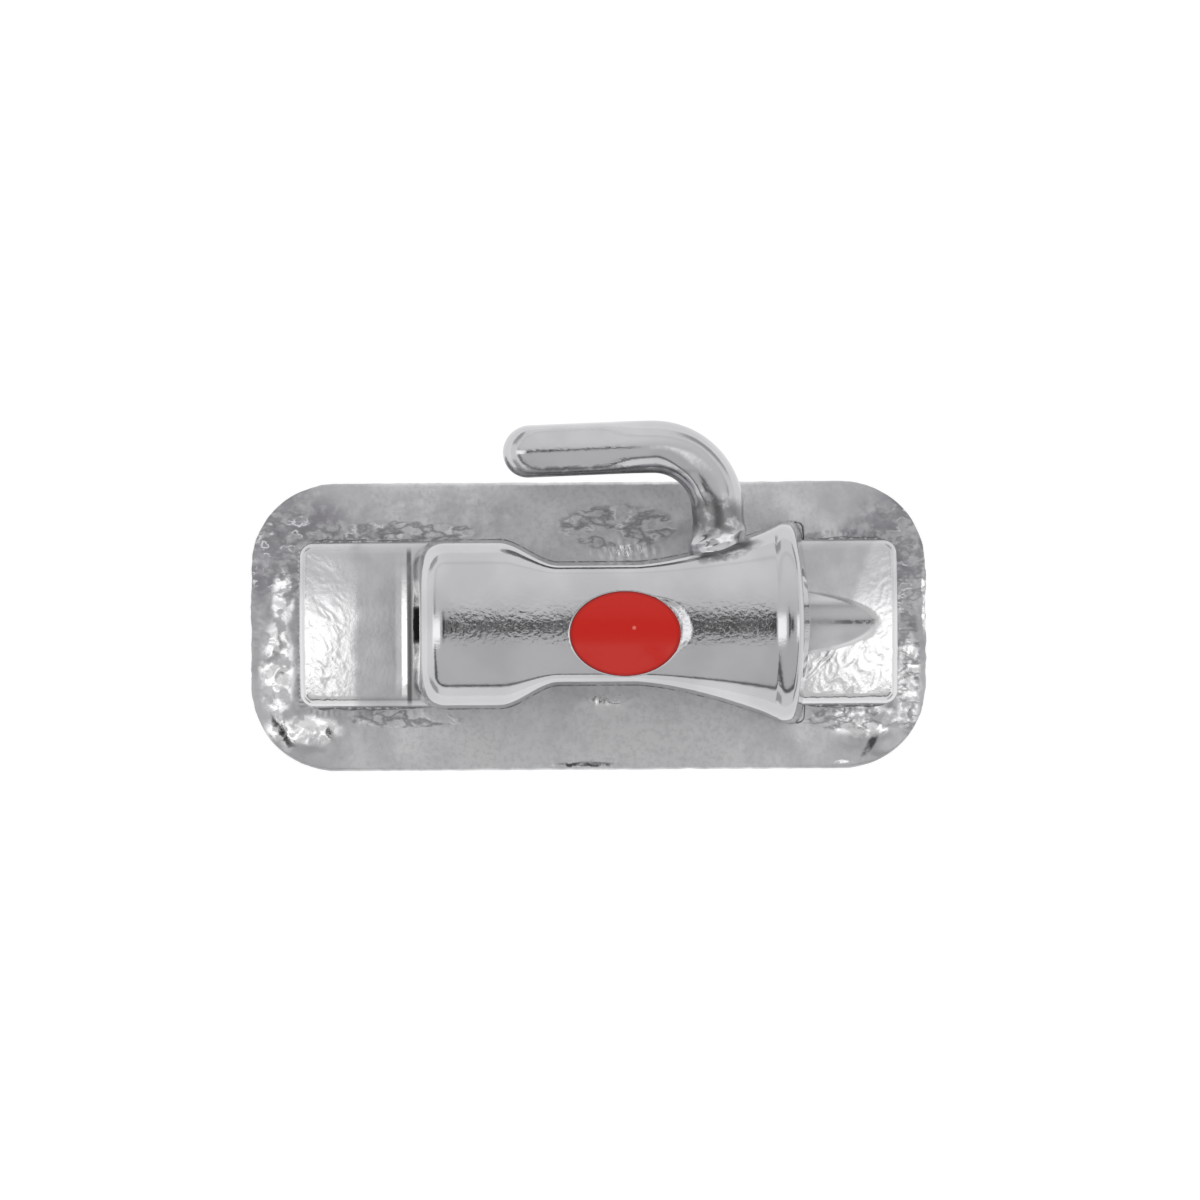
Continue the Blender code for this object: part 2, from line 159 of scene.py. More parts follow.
def skin(rings):
    """Extrudes a circle's edges from ring to ring. A vertex keeps its place in the ring."""
    bm = bmesh.new()
    bmesh.ops.create_circle(bm, segments=len(rings[0]), radius=1)
    place = bm.verts.layers.int.new("place")
    for number, vert in enumerate(bm.verts):
        vert[place] = number
        vert.co = rings[0][number]
    edges = bm.edges[:]
    for ring in rings[1:]:
        made = bmesh.ops.extrude_edge_only(bm, edges=edges)["geom"]
        edges = [part for part in made if isinstance(part, bmesh.types.BMEdge)]
        for vert in (part for part in made if isinstance(part, bmesh.types.BMVert)):
            vert.co = ring[vert[place]]
    bm.verts.layers.int.remove(place)
    bmesh.ops.scale(bm, vec=(METRES_PER_MM,) * 3, verts=bm.verts[:])
    bmesh.ops.remove_doubles(bm, verts=bm.verts[:], dist=WELD_DISTANCE)
    bmesh.ops.recalc_face_normals(bm, faces=bm.faces[:])
    return bm


def put_in_scene(name, data):
    """An object of its own at the origin."""
    piece = bpy.data.objects.new(name, data)
    bpy.context.scene.collection.objects.link(piece)
    return piece


def finished(name, bm):
    """A smooth shaded mesh of its own that moves with the frame."""
    mesh = bpy.data.meshes.new(name)
    bm.to_mesh(mesh)
    open_edges = sum(edge.is_boundary for edge in bm.edges)
    bm.free()
    mesh.shade_smooth()
    piece = put_in_scene(name, mesh)
    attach(piece, "root")
    triangles = sum(len(face.vertices) - 2 for face in mesh.polygons)
    print(f"{name}: {triangles} triangles, {open_edges} open edges")
    return piece


def arc(centre, radius, first, last, steps):
    """Points of a plane arc without its last one, so that arcs and lines can be chained."""
    angles = [first + (last - first) * step / steps for step in range(steps)]
    return [(centre[0] + radius * math.cos(a), centre[1] + radius * math.sin(a)) for a in angles]


def line(start, end, steps):
    """Points of a straight without its last one."""
    shares = [step / steps for step in range(steps)]
    return [(start[0] + (end[0] - start[0]) * s, start[1] + (end[1] - start[1]) * s) for s in shares]


def spread(start, end, steps):
    """Even stations, both ends included."""
    return [start + (end - start) * step / steps for step in range(steps + 1)]


def blend(start, end, value):
    """Goes smoothly from 0 at start to 1 at end."""
    share = min(max((value - start) / (end - start), 0.0), 1.0)
    return share * share * (3 - 2 * share)


def corner_drop(depth, radius):
    """How far a rounded corner draws the surface in, at a depth behind the end face."""
    inside = min(max(radius - depth, 0.0), radius)
    return radius - math.sqrt(radius**2 - inside**2)


def smooth_min(first, second, softness):
    """The lower of two heights, with a small fillet where they cross."""
    share = min(max(0.5 + 0.5 * (second - first) / softness, 0.0), 1.0)
    return second + (first - second) * share - softness * share * (1 - share)


def mixed(first, second, share):
    """A point between two points."""
    return tuple(a + (b - a) * share for a, b in zip(first, second))


# %% [markdown]
# The pad is stamped from thin sheet and bent round the tooth: flat in the middle, then curved
# to a radius of 9 mm towards both ends. The feet are bent with it. All of them are modelled flat
# and wrapped afterwards, as the press does it.

# %% Wrap on the tooth
def on_tooth(x, y, z):
    """Wraps a point of the flat layout round the tooth."""
    reach = abs(x) - PAD_FLAT_LENGTH / 2
    if reach <= 0:
        return x, y, z
    angle = reach / PAD_BEND_RADIUS
    radius = PAD_BEND_RADIUS + z
    wrapped = PAD_FLAT_LENGTH / 2 + radius * math.sin(angle)
    return math.copysign(wrapped, x), y, radius * math.cos(angle) - PAD_BEND_RADIUS


def tooth_height(x, above):
    """Height at x of a surface that lies at a distance above the pad's tooth side."""
    reach = max(abs(x) - PAD_FLAT_LENGTH / 2, 0.0)
    return math.sqrt((PAD_BEND_RADIUS + above) ** 2 - reach**2) - PAD_BEND_RADIUS


print("drop of the pad's ends:", round(-on_tooth(PAD_LENGTH / 2, 0, 0)[2], 3), "mm")

# %% [markdown]
# The tube's section changes all along its length: a wide block, a waist, and a flare that ends in
# a beaded rim. One function gives a measure at any x, and the section is drawn from four such
# measures: a crown arc, two shoulder arcs, drafted flanks and a flat bottom.

# %% The tube's section
CROWN_POINTS = 120
SHOULDER_POINTS = 20
FLANK_POINTS = 16
BOTTOM_POINTS = 24
PAD_SINK = 0.02


def along(x, block, waist, rim):
    """One measure of the tube at x: the block's, a smooth step to the waist's, a flare to the rim's."""
    if x < FLARE_START_X:
        return block + (waist - block) * blend(BLOCK_TAPER_X, WAIST_START_X, x)
    share = min((x - FLARE_START_X) / (RIM_START_X - FLARE_START_X), 1.0)
    return waist + (rim - waist) * share**FLARE_POWER


def rim_bead(x):
    """How far the bead round the mouth stands out, and then rounds down to the mesial face."""
    from_crest = x - RIM_START_X - RIM_BEAD_HALF_LENGTH
    if from_crest < 0:
        return RIM_BEAD_RISE * math.cos(max(from_crest / RIM_BEAD_HALF_LENGTH, -1.0) * math.pi / 2)
    crest_drop = RIM_CREST_RADIUS - math.sqrt(RIM_CREST_RADIUS**2 - from_crest**2)
    return RIM_BEAD_RISE - crest_drop - corner_drop(RIM_END_X - x, RIM_EDGE_RADIUS)


def half_width(x):
    """Half the tube's width at x, at the height of its seat."""
    value = along(x, BLOCK_WIDTH / 2, WAIST_WIDTH / 2, RIM_WIDTH / 2)
    return value + rim_bead(x) - corner_drop(x - BLOCK_END_X, BLOCK_CORNER_RADIUS)


def crown_z(x):
    """Height of the crown at x, on the tube's middle line."""
    value = along(x, BLOCK_HEIGHT, WAIST_HEIGHT, RIM_HEIGHT)
    return SEAT_Z + value + rim_bead(x) - corner_drop(x - BLOCK_END_X, BLOCK_CROWN_ROUNDING)


class Section:
    """Outline of the tube across X: a crown arc between two shoulder arcs and drafted flanks."""

    def __init__(self, x):
        half = half_width(x)
        shoulder = along(x, BLOCK_SHOULDER_RADIUS, WAIST_SHOULDER_RADIUS, RIM_SHOULDER_RADIUS)
        self.x = x
        self.crown_centre_z = crown_z(x) - CROWN_RADIUS
        self.half = half
        self.shoulder = shoulder
        slope = math.tan(FLANK_DRAFT)
        reach = half - shoulder / math.cos(FLANK_DRAFT) + SEAT_Z * slope
        mean = reach * slope + self.crown_centre_z
        rest = reach**2 + self.crown_centre_z**2 - (CROWN_RADIUS - shoulder) ** 2
        self.shoulder_z = (mean + math.sqrt(mean**2 - (1 + slope**2) * rest)) / (1 + slope**2)
        self.shoulder_y = reach - self.shoulder_z * slope
        self.turn = math.atan2(self.shoulder_z - self.crown_centre_z, self.shoulder_y)

    def loop(self):
        """The closed outline, from the crown's +Y end over the top and round the bottom."""
        low = tooth_height(self.x, PAD_THICKNESS - PAD_SINK)
        foot = self.half - (low - SEAT_Z) * math.tan(FLANK_DRAFT)
        turn, radius = self.turn, self.shoulder
        near, far = (self.shoulder_y, self.shoulder_z), (-self.shoulder_y, self.shoulder_z)
        flank_y = near[0] + radius * math.cos(FLANK_DRAFT)
        flank_z = near[1] + radius * math.sin(FLANK_DRAFT)
        return (
            arc((0, self.crown_centre_z), CROWN_RADIUS, turn, math.pi - turn, CROWN_POINTS)
            + arc(far, radius, math.pi - turn, math.pi - FLANK_DRAFT, SHOULDER_POINTS)
            + line((-flank_y, flank_z), (-foot, low), FLANK_POINTS)
            + line((-foot, low), (foot, low), BOTTOM_POINTS)
            + line((foot, low), (flank_y, flank_z), FLANK_POINTS)
            + arc(near, radius, FLANK_DRAFT, turn, SHOULDER_POINTS)
        )

    def height(self, y):
        """Height of the outer skin at a distance y from the tube's axis."""
        y = abs(y)
        if y <= CROWN_RADIUS * math.cos(self.turn):
            return self.crown_centre_z + math.sqrt(CROWN_RADIUS**2 - y**2)
        over = min(y - self.shoulder_y, self.shoulder)
        return self.shoulder_z + math.sqrt(self.shoulder**2 - over**2)


print("waist section:", round(2 * Section(0).half, 2), "x", round(crown_z(0) - SEAT_Z, 2), "mm")

# %% [markdown]
# Inside runs the wire slot, a rounded rectangle that opens at the mesial end into a funnel. Its
# loop has as many points as the outer one, top to top and side to side, so that the two can be
# joined by plain rings across both end faces. The mouth's lip and the slot's lead-in are rounded.

# %% The slot's section
LIP_RADIUS = 0.05
GROOVE_START_X = 1.8
GROOVE_FULL_X = 1.95
GROOVE_FILLET = 0.02


def groove_height(x, y, z):
    """Lowers a floor to the round groove that runs out of the mouth along the foot."""
    across = abs(y)
    if across > GROOVE_RADIUS or z > GROOVE_AXIS_Z:
        return z
    groove = GROOVE_AXIS_Z - math.sqrt(GROOVE_RADIUS**2 - across**2)
    started = blend(GROOVE_START_X, GROOVE_FULL_X, x)
    return z + (smooth_min(z, groove, GROOVE_FILLET) - z) * started


def slot_loop(x):
    """The slot's or funnel's closed outline at x."""
    share = max((x - FUNNEL_START_X) / (RIM_END_X + RIM_CORNER_RADIUS - FUNNEL_START_X), 0.0)
    lead_in = corner_drop(x - BLOCK_END_X, SLOT_LEAD_IN)
    opened = lead_in / SLOT_LEAD_IN
    lip = corner_drop(RIM_END_X - x, LIP_RADIUS)
    side = SLOT_WIDTH / 2 + FUNNEL_SIDE_FLARE * share + LEAD_IN_SIDE * opened + lip
    roof = SLOT_AXIS_Z + SLOT_DEPTH / 2 + FUNNEL_ROOF_FLARE * share + lead_in + lip
    floor = SLOT_AXIS_Z - SLOT_DEPTH / 2 - FUNNEL_FLOOR_FLARE * share
    radius = SLOT_CORNER_RADIUS + (FUNNEL_MOUTH_RADIUS - SLOT_CORNER_RADIUS) * share
    radius += LEAD_IN_ROUNDNESS * opened
    quarter = BOTTOM_POINTS // 4
    right = math.pi / 2
    points = (
        line((side - radius, roof), (radius - side, roof), CROWN_POINTS)
        + arc((radius - side, roof - radius), radius, right, 2 * right, SHOULDER_POINTS)
        + line((-side, roof - radius), (-side, floor + radius), FLANK_POINTS)
        + arc((radius - side, floor + radius), radius, 2 * right, 3 * right, quarter)
        + line((radius - side, floor), (side - radius, floor), BOTTOM_POINTS - 2 * quarter)
        + arc((side - radius, floor + radius), radius, 3 * right, 4 * right, quarter)
        + line((side, floor + radius), (side, roof - radius), FLANK_POINTS)
        + arc((side - radius, roof - radius), radius, 0, right, SHOULDER_POINTS)
    )
    return [(y, groove_height(x, y, z)) for y, z in points]


print("mouth opening:", round(2 * max(y for y, z in slot_loop(RIM_END_X)), 2), "mm wide")

# %% [markdown]
# The oval pit for the enamel is pressed into the crown. Its wall is steep, and past its mesial
# end a shallow shelf of bare steel shows beside the enamel. A Boolean cut would leave a knife
# edge, so the crown's points are lowered by a smooth wall instead.

# %% The pit
PIT_WALL = 0.03
SHELF_LENGTH = 0.1
SHELF_DEPTH = 0.024
SHELF_TURN = math.radians(16)


def pit_depth(x, y):
    """How far the crown is lowered at a place."""
    across = (x - MARK_X) / (PIT_LENGTH / 2)
    up = (y - MARK_Y) / (PIT_WIDTH / 2)
    out = math.hypot(across, up)
    if out > 2:
        return 0.0
    beyond_edge = (out - 1) * PIT_WIDTH / 2
    facing = (across * math.cos(SHELF_TURN) + up * math.sin(SHELF_TURN)) / max(out, 0.01)
    length = 0.001 + SHELF_LENGTH * blend(0.7, 1.0, facing)
    shelf = SHELF_DEPTH * (1 - blend(0.0, length, beyond_edge)) * blend(0.6, 0.9, facing)
    return max(PIT_DEPTH * (1 - blend(-PIT_WALL, 0.0, beyond_edge)), shelf)


print("pit depth in its middle:", round(pit_depth(MARK_X, MARK_Y), 3), "mm")

# %% [markdown]
# The tube's rings run along its outside from the distal end to the rim, shrink across the mesial
# face to the mouth, go back through the funnel and the slot, and grow again across the distal
# face. Both end faces lean, because a moulding needs draft, and the rim's face is bowed.

# %% The tube
ROUNDING_RINGS = 20
LIP_RINGS = 8
FACE_RINGS = 14
QUARTER = math.pi / 2


def leaned(x, y, z):
    """Drafts both end faces towards the pad and bows the rim's face."""
    distal = 1 - blend(BLOCK_END_X, BLOCK_END_X + END_BLEND_LENGTH, x)
    mesial = blend(RIM_END_X - END_BLEND_LENGTH, RIM_END_X, x)
    back = (SEAT_Z + BLOCK_HEIGHT - z) * math.tan(DISTAL_DRAFT)
    forward = (SEAT_Z + RIM_HEIGHT - z) * math.tan(MESIAL_DRAFT) - y**2 / (2 * RIM_FACE_RADIUS)
    return x - distal * back + mesial * forward, y + BODY_OFFSET, z


def outer_stations():
    """Places along X of the outer rings, closer together on the roundings and the pit."""
    turns = spread(0, QUARTER, ROUNDING_RINGS)
    distal = [BLOCK_END_X + BLOCK_CORNER_RADIUS * (1 - math.cos(turn)) for turn in turns]
    pit_start, pit_end = MARK_X - 0.65, MARK_X + 0.75
    return (
        distal
        + spread(distal[-1], BLOCK_TAPER_X, 12)[1:]
        + spread(BLOCK_TAPER_X, pit_start, 36)[1:]
        + spread(pit_start, pit_end, 120)[1:]
        + spread(pit_end, RIM_START_X, 32)[1:]
        + spread(RIM_START_X, RIM_END_X - RIM_EDGE_RADIUS, 20)[1:]
        + [RIM_END_X - RIM_EDGE_RADIUS * (1 - math.sin(turn)) for turn in turns[1:]]
    )


def inner_stations():
    """Places of the inner rings, from the mouth back to the slot's lead-in."""
    turns = spread(0, QUARTER, LIP_RINGS)
    lip = [RIM_END_X - LIP_RADIUS * (1 - math.cos(turn)) for turn in turns]
    lead_in = [BLOCK_END_X + SLOT_LEAD_IN * math.cos(turn) for turn in turns]
    funnel = spread(lip[-1], FUNNEL_START_X, 40)[1:]
    return lip + funnel + spread(FUNNEL_START_X, lead_in[0], 8)[1:-1] + lead_in


def tube_rings():
    """Along the outside, over the mesial face, back through the slot, over the distal face."""
    rings = []
    roof = SLOT_AXIS_Z + SLOT_DEPTH / 2
    for x in outer_stations():
        loop = [(y, z - pit_depth(x, y)) if z > roof else (y, z) for y, z in Section(x).loop()]
        rings.append([leaned(x, y, z) for y, z in loop])
    shares = spread(0, 1, FACE_RINGS)
    mouth, face = slot_loop(RIM_END_X), Section(RIM_END_X).loop()
    for share in shares[1:-1]:
        rings.append([leaned(RIM_END_X, *mixed(out, hole, share)) for out, hole in zip(face, mouth)])
    for x in inner_stations():
        rings.append([leaned(x, y, z) for y, z in slot_loop(x)])
    mouth, face = slot_loop(BLOCK_END_X), Section(BLOCK_END_X).loop()
    for share in shares[1:]:
        rings.append([leaned(BLOCK_END_X, *mixed(hole, out, share)) for out, hole in zip(face, mouth)])
    return rings


tube = finished("tube", skin(tube_rings()))
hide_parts("tube_body")

# %% [markdown]
# Pad and feet are plates: an outline with round corners, a rounded upper edge, and a top that
# isn't flat. Their rings start as a line along the middle of the underside, grow out to the edge,
# climb it, and shrink back to a line on the top. So the top has a fine mesh for its creases.

# %% Plates
PLATE_UNDER_RINGS = 8
PLATE_EDGE_RINGS = 8


def outline(half_length, half_width, radius, steps):
    """Anticlockwise loop round a rounded rectangle. The steps are for long side, short side, corner."""
    long_steps, short_steps, corner_steps = steps
    x, y = half_length - radius, half_width - radius
    return (
        arc((x, y), radius, 0, QUARTER, corner_steps)
        + line((x, half_width), (-x, half_width), long_steps)
        + arc((-x, y), radius, QUARTER, 2 * QUARTER, corner_steps)
        + line((-half_length, y), (-half_length, -y), short_steps)
        + arc((-x, -y), radius, 2 * QUARTER, 3 * QUARTER, corner_steps)
        + line((-x, -half_width), (x, -half_width), long_steps)
        + arc((x, -y), radius, 3 * QUARTER, 4 * QUARTER, corner_steps)
        + line((half_length, -y), (half_length, y), short_steps)
    )


def plate_rings(size, radius, low, high, rounding, steps, rings_across):
    """Flat rings of a plate, from a line on its underside to a line on its top."""
    half_length, half_width = size[0] / 2, size[1] / 2
    reach = min(half_length, half_width)
    profile = [(inset, low) for inset in spread(reach, 0, PLATE_UNDER_RINGS)]
    for turn in spread(0, QUARTER, PLATE_EDGE_RINGS):
        profile.append((rounding * (1 - math.cos(turn)), high - rounding * (1 - math.sin(turn))))
    profile += [(inset, high) for inset in spread(rounding, reach, rings_across)[1:]]
    rings = []
    for inset, z in profile:
        corner = max(radius - inset, 0.0)
        loop = outline(half_length - inset, half_width - inset, corner, steps)
        rings.append([(x, y, z) for x, y in loop])
    return rings


# %% [markdown]
# The thin sheet isn't smooth: welding and handling leave shallow waves all over it, sharp little
# folds at the lower corners and ripples where braze ran out beside the feet. Folds have sharp
# ridges, so they come from the distance of a noise to zero. Waves come from the noise itself, and
# a noise that bends the other's coordinates makes them curl.

# %% Relief tools
def waves(x, y, length, seed):
    """Smooth noise whose lumps are about a length apart."""
    return noise.noise(Vector((x / length, y / length, seed)))


def curled(x, y, length, seed, curl=0.6):
    """Waves whose crests bend, as wrinkles do."""
    bend_x = curl * length * waves(x, y, 1.6 * length, seed + 0.3)
    bend_y = curl * length * waves(x, y, 1.6 * length, seed + 0.7)
    return waves(x + bend_x, y + bend_y, length, seed)


def folds(x, y, length, seed):
    """Sharp-ridged relief, 1 on a ridge."""
    return 1 - 2 * abs(curled(x, y, length, seed))


def spot(x, y, centre, size):
    """1 at a place and falling off round it, with its own reach along X and Y."""
    return math.exp(-(((x - centre[0]) / size[0]) ** 2) - ((y - centre[1]) / size[1]) ** 2)


def crease(x, y, start, end, width):
    """1 on a straight line between two places, falling off beside it."""
    along_x, along_y = end[0] - start[0], end[1] - start[1]
    share = ((x - start[0]) * along_x + (y - start[1]) * along_y) / (along_x**2 + along_y**2)
    share = min(max(share, 0.0), 1.0)
    away = math.hypot(x - start[0] - share * along_x, y - start[1] - share * along_y)
    return math.exp(-((away / width) ** 2))


# %% What stands on the sheet
def footprint(x):
    """Half the width at x of what stands on the pad: a foot, the tube, or the wider of both."""
    on_distal = -FOOT_DISTAL_REACH < x < BLOCK_END_X + BLOCK_CORNER_RADIUS
    on_mesial = RIM_START_X - RIM_BEAD_HALF_LENGTH < x < FOOT_MESIAL_REACH
    foot = FOOT_WIDTH / 2 if on_distal or on_mesial else 0.0
    flank = half_width(x) if BLOCK_END_X < x < RIM_END_X else 0.0
    return max(foot, flank)


def beside_footprint(x, y):
    """Distance on the pad from the feet and the tube, negative under them."""
    across = abs(y - BODY_OFFSET)
    beyond = max(x - FOOT_MESIAL_REACH, -FOOT_DISTAL_REACH - x)
    if beyond > 0:
        return math.hypot(beyond, max(across - FOOT_WIDTH / 2, 0.0))
    return across - footprint(x)


# %% The sheet's relief
CRUMPLED = [
    ((-3.25, -0.3), (0.2, 0.65), 1.0),
    ((-2.95, -1.1), (0.42, 0.18), 1.0),
    ((2.9, -1.08), (0.34, 0.2), 1.0),
    ((3.34, -0.4), (0.14, 0.6), 0.8),
    ((-3.1, 0.8), (0.4, 0.5), 0.35),
    ((3.2, 0.75), (0.3, 0.5), 0.45),
    ((0.3, 1.08), (0.6, 0.14), 0.6),
    ((0.2, -0.78), (0.25, 0.08), 0.5),
]
CREASES = [
    ((-3.21, -0.95), (-3.08, -1.2)),
    ((2.86, -1.13), (2.96, -1.36)),
    ((-0.35, -1.43), (0.27, -1.4)),
]
WAVE_HEIGHT = 0.004
CURL_HEIGHT = 0.001
FOLD_HEIGHT = 0.024
SMALL_FOLD_HEIGHT = 0.006
CREASE_WIDTH = 0.03
CREASE_DEPTH = 0.013
COMB_PLACE = (0.38, 0.775)
COMB_SIZE = (0.26, 0.07)
COMB_PITCH = 0.088
COMB_HEIGHT = 0.026
RIPPLE_LENGTH = 0.056
RIPPLE_PLACE = 0.06
RIPPLE_REACH = 0.035
TEETH_HEIGHT = 0.0045
BEADS_HEIGHT = 0.014
TURN_START_Y = 0.8
TURN_DROP = 0.03


def ripples(x, y):
    """Fine ripples of run-out braze on the sheet beside the feet, and a short comb at the waist."""
    beside = beside_footprint(x, y)
    if beside <= 0:
        return 0.0
    past_end = x > FOOT_MESIAL_REACH or x < -FOOT_DISTAL_REACH
    phase = (y if past_end else x) / RIPPLE_LENGTH + 0.5 * waves(x, y, 0.3, 12.0)
    teeth = math.cos(2 * math.pi * phase)
    comb_teeth = math.cos(2 * math.pi * (x + 0.3 * (y - COMB_PLACE[1])) / COMB_PITCH)
    beads = curled(x, y, 0.1, 11.0)
    at_foot = max(1 - blend(-1.7, -1.4, x), blend(2.3, 2.45, x))
    patchy = 0.6 + waves(x, y, 0.45, 13.0)
    band = math.exp(-(((beside - RIPPLE_PLACE) / RIPPLE_REACH) ** 2))
    comb = spot(x, y, COMB_PLACE, COMB_SIZE) * comb_teeth
    return at_foot * band * patchy * (TEETH_HEIGHT * teeth + BEADS_HEIGHT * beads) + COMB_HEIGHT * comb


def sheet_relief(x, y):
    """Height of the sheet's waves, folds, creases and ripples at a place."""
    crumpled = min(sum(share * spot(x, y, centre, size) for centre, size, share in CRUMPLED), 1.0)
    large, small = folds(x, y, 0.25, 7.0), folds(x, y, 0.1, 9.0)
    height = WAVE_HEIGHT * waves(x, y, 0.6, 3.0) + CURL_HEIGHT * curled(x, y, 0.22, 5.0)
    height += crumpled * (FOLD_HEIGHT * large + SMALL_FOLD_HEIGHT * small)
    bent_x = x + 0.06 * waves(x, y, 0.12, 14.0)
    for start, end in CREASES:
        height -= CREASE_DEPTH * crease(bent_x, y, start, end, CREASE_WIDTH)
    return height + ripples(x, y)


def turned_down(y):
    """How far the sheet's long edges are pressed down towards the tooth."""
    return TURN_DROP * (max(abs(y) - TURN_START_Y, 0.0) / (PAD_WIDTH / 2 - TURN_START_Y)) ** 2


print("relief at the lower left corner:", round(sheet_relief(-3.2, -0.8), 4), "mm")

# %% The pad
PAD_STEPS = (262, 96, 40)
PAD_RINGS = 82
PAD_EDGE_ROUNDING = 0.03
PAD_SIZE = (PAD_LENGTH, PAD_WIDTH)


def edge_wobble(x, y):
    """How much smaller than its outline the sheet is at its cut edge, as a share."""
    to_side = max(abs(y), abs(x) - (PAD_LENGTH - PAD_WIDTH) / 2)
    near_edge = blend(PAD_WIDTH / 2 - 0.2, PAD_WIDTH / 2, to_side)
    uneven = 0.01 * abs(waves(x, y, 0.3, 1.0)) + 0.006 * abs(waves(x, y, 0.11, 2.0))
    return near_edge * uneven / (PAD_WIDTH / 2)


def pad_rings():
    """The flat plate's rings with the relief added, wrapped on the tooth."""
    flat_rings = plate_rings(
        PAD_SIZE, PAD_CORNER_RADIUS, 0, PAD_THICKNESS, PAD_EDGE_ROUNDING, PAD_STEPS, PAD_RINGS
    )
    rings = []
    for ring in flat_rings:
        rings.append([])
        for x, y, z in ring:
            scale = 1 - edge_wobble(x, y)
            lift = sheet_relief(x, y) * (z / PAD_THICKNESS) - turned_down(y)
            rings[-1].append(on_tooth(x * scale, y * scale, z + lift))
    return rings


pad = finished("weld_pad", skin(pad_rings()))
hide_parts("base_pad")

# %% [markdown]
# The two end feet are part of the moulding. Their upper edges are well rounded, their tops are
# slightly crowned and partly wrinkled, and the mesial one carries the round groove that leads the
# wire into the mouth. The distal one rises in a small step just before the tube's end face.

# %% The feet
FOOT_STEPS = (84, 84, 14)
FOOT_RINGS = 60
FOOT_CROWN_RADIUS = 8.0
WRINKLE_HEIGHT = 0.0026
CRINKLE_HEIGHT = 0.0018
DISTAL_WRINKLE_ENDS = (-2.5, -2.36)
DISTAL_WRINKLE_TURN = math.radians(-50)
MESIAL_WRINKLE_TURN = math.radians(50)
STEP_HEIGHT = 0.018
STEP_SIDES = (0.6, 0.76)
TUCK_DEPTH = 0.04
FACE_FOOT_X = BLOCK_END_X - (BLOCK_HEIGHT - FOOT_HEIGHT) * math.tan(DISTAL_DRAFT)


def wrinkles(x, y, seed, turn):
    """Leathery wrinkles, longer in the direction of the turn."""
    u = 0.6 * (x * math.cos(turn) + y * math.sin(turn))
    v = y * math.cos(turn) - x * math.sin(turn)
    return WRINKLE_HEIGHT * curled(u, v, 0.16, seed) + CRINKLE_HEIGHT * folds(u, v, 0.075, seed + 5)


def distal_lift(x, y):
    """Wrinkled towards the free end, smooth beside the tube, with a step before its end face."""
    rise = 0.3 * blend(FACE_FOOT_X - 0.12, FACE_FOOT_X - 0.03, x)
    rise += 0.7 * blend(FACE_FOOT_X - 0.04, FACE_FOOT_X + 0.02, x)
    step = rise * (1 - blend(*STEP_SIDES, abs(y)))
    wrinkled = 1 - blend(*DISTAL_WRINKLE_ENDS, x)
    return wrinkled * wrinkles(x, y, 21.0, DISTAL_WRINKLE_TURN) + STEP_HEIGHT * step


def mesial_lift(x, y):
    """Wrinkled along the side away from the hook and at the free end, smooth elsewhere."""
    zone = max(blend(0.2, 0.35, -y), blend(2.5, 2.8, x - 0.35 * y))
    return zone * wrinkles(x, y, 31.0, MESIAL_WRINKLE_TURN)


def tucked(x, y, z):
    """Lowers the mesial foot's top to the groove, and under the funnel's floor inside the mouth."""
    if x < GROOVE_START_X:
        return z
    inside = (1 - blend(RIM_END_X - 0.06, RIM_END_X + 0.02, x)) * (1 - blend(0.55, 0.7, abs(y)))
    return groove_height(x, y, z) - TUCK_DEPTH * inside


def foot_rings(outer_x, inner_x, lift):
    """A foot's rings between two places along X, wrapped on the tooth."""
    centre_x = (outer_x + inner_x) / 2
    size = (abs(outer_x - inner_x), FOOT_WIDTH)
    low, high = PAD_THICKNESS - PAD_SINK, SEAT_Z + FOOT_HEIGHT
    flat_rings = plate_rings(
        size, FOOT_CORNER_RADIUS, low, high, FOOT_EDGE_ROUNDING, FOOT_STEPS, FOOT_RINGS
    )
    rings = []
    for ring in flat_rings:
        rings.append([])
        for x, y, z in ring:
            crowned = lift(x + centre_x, y) - y**2 / (2 * FOOT_CROWN_RADIUS)
            px, py, pz = on_tooth(x + centre_x, y, z + crowned * blend(low, high, z))
            rings[-1].append((px, py + BODY_OFFSET, tucked(px, py, pz)))
    return rings


distal_rings = foot_rings(-FOOT_DISTAL_REACH, BLOCK_END_X + BLOCK_CORNER_RADIUS, distal_lift)
mesial_rings = foot_rings(FOOT_MESIAL_REACH, RIM_START_X - RIM_BEAD_HALF_LENGTH, mesial_lift)
distal_foot = finished("distal_foot", skin(distal_rings))
mesial_foot = finished("mesial_foot", skin(mesial_rings))

# %% [markdown]
# The hook is an arm on a stem that grows out of the flared flank. Its rings follow the arm, the
# bend and the stem. The arm sags a little towards its tip, and the bend dips towards the pad. The
# arm's upper side is pressed to two flats that meet in a soft ridge. The bend's upper side is a
# little flatter and leans outward. At the root the stem swells, and a lumpy bead runs along the
# flank.

# %% The hook
HOOK_SIDES = 96
RIDGE_SLOPE = 0.3
RIDGE_SOFTNESS = 0.2
TIP_FADE_X = (-0.85, -0.45)
FLAT_FADE_X = (0.1, 0.6)
HOOK_LIFT = 0.06
BEND_LEAN = 0.12
DIP_ENDS = (-0.35, 0.75)
DIP_DEPTH = 0.13
SAG_START = 0.2
ARM_SAG = 0.038
BEAD_SLOPE = 0.29
BEAD_PLACE = 0.33
BEAD_WIDTH = 0.05
BEAD_HEIGHT = 0.034
SWELL_HEIGHT = 0.02
BURIED_TAPER = 0.12


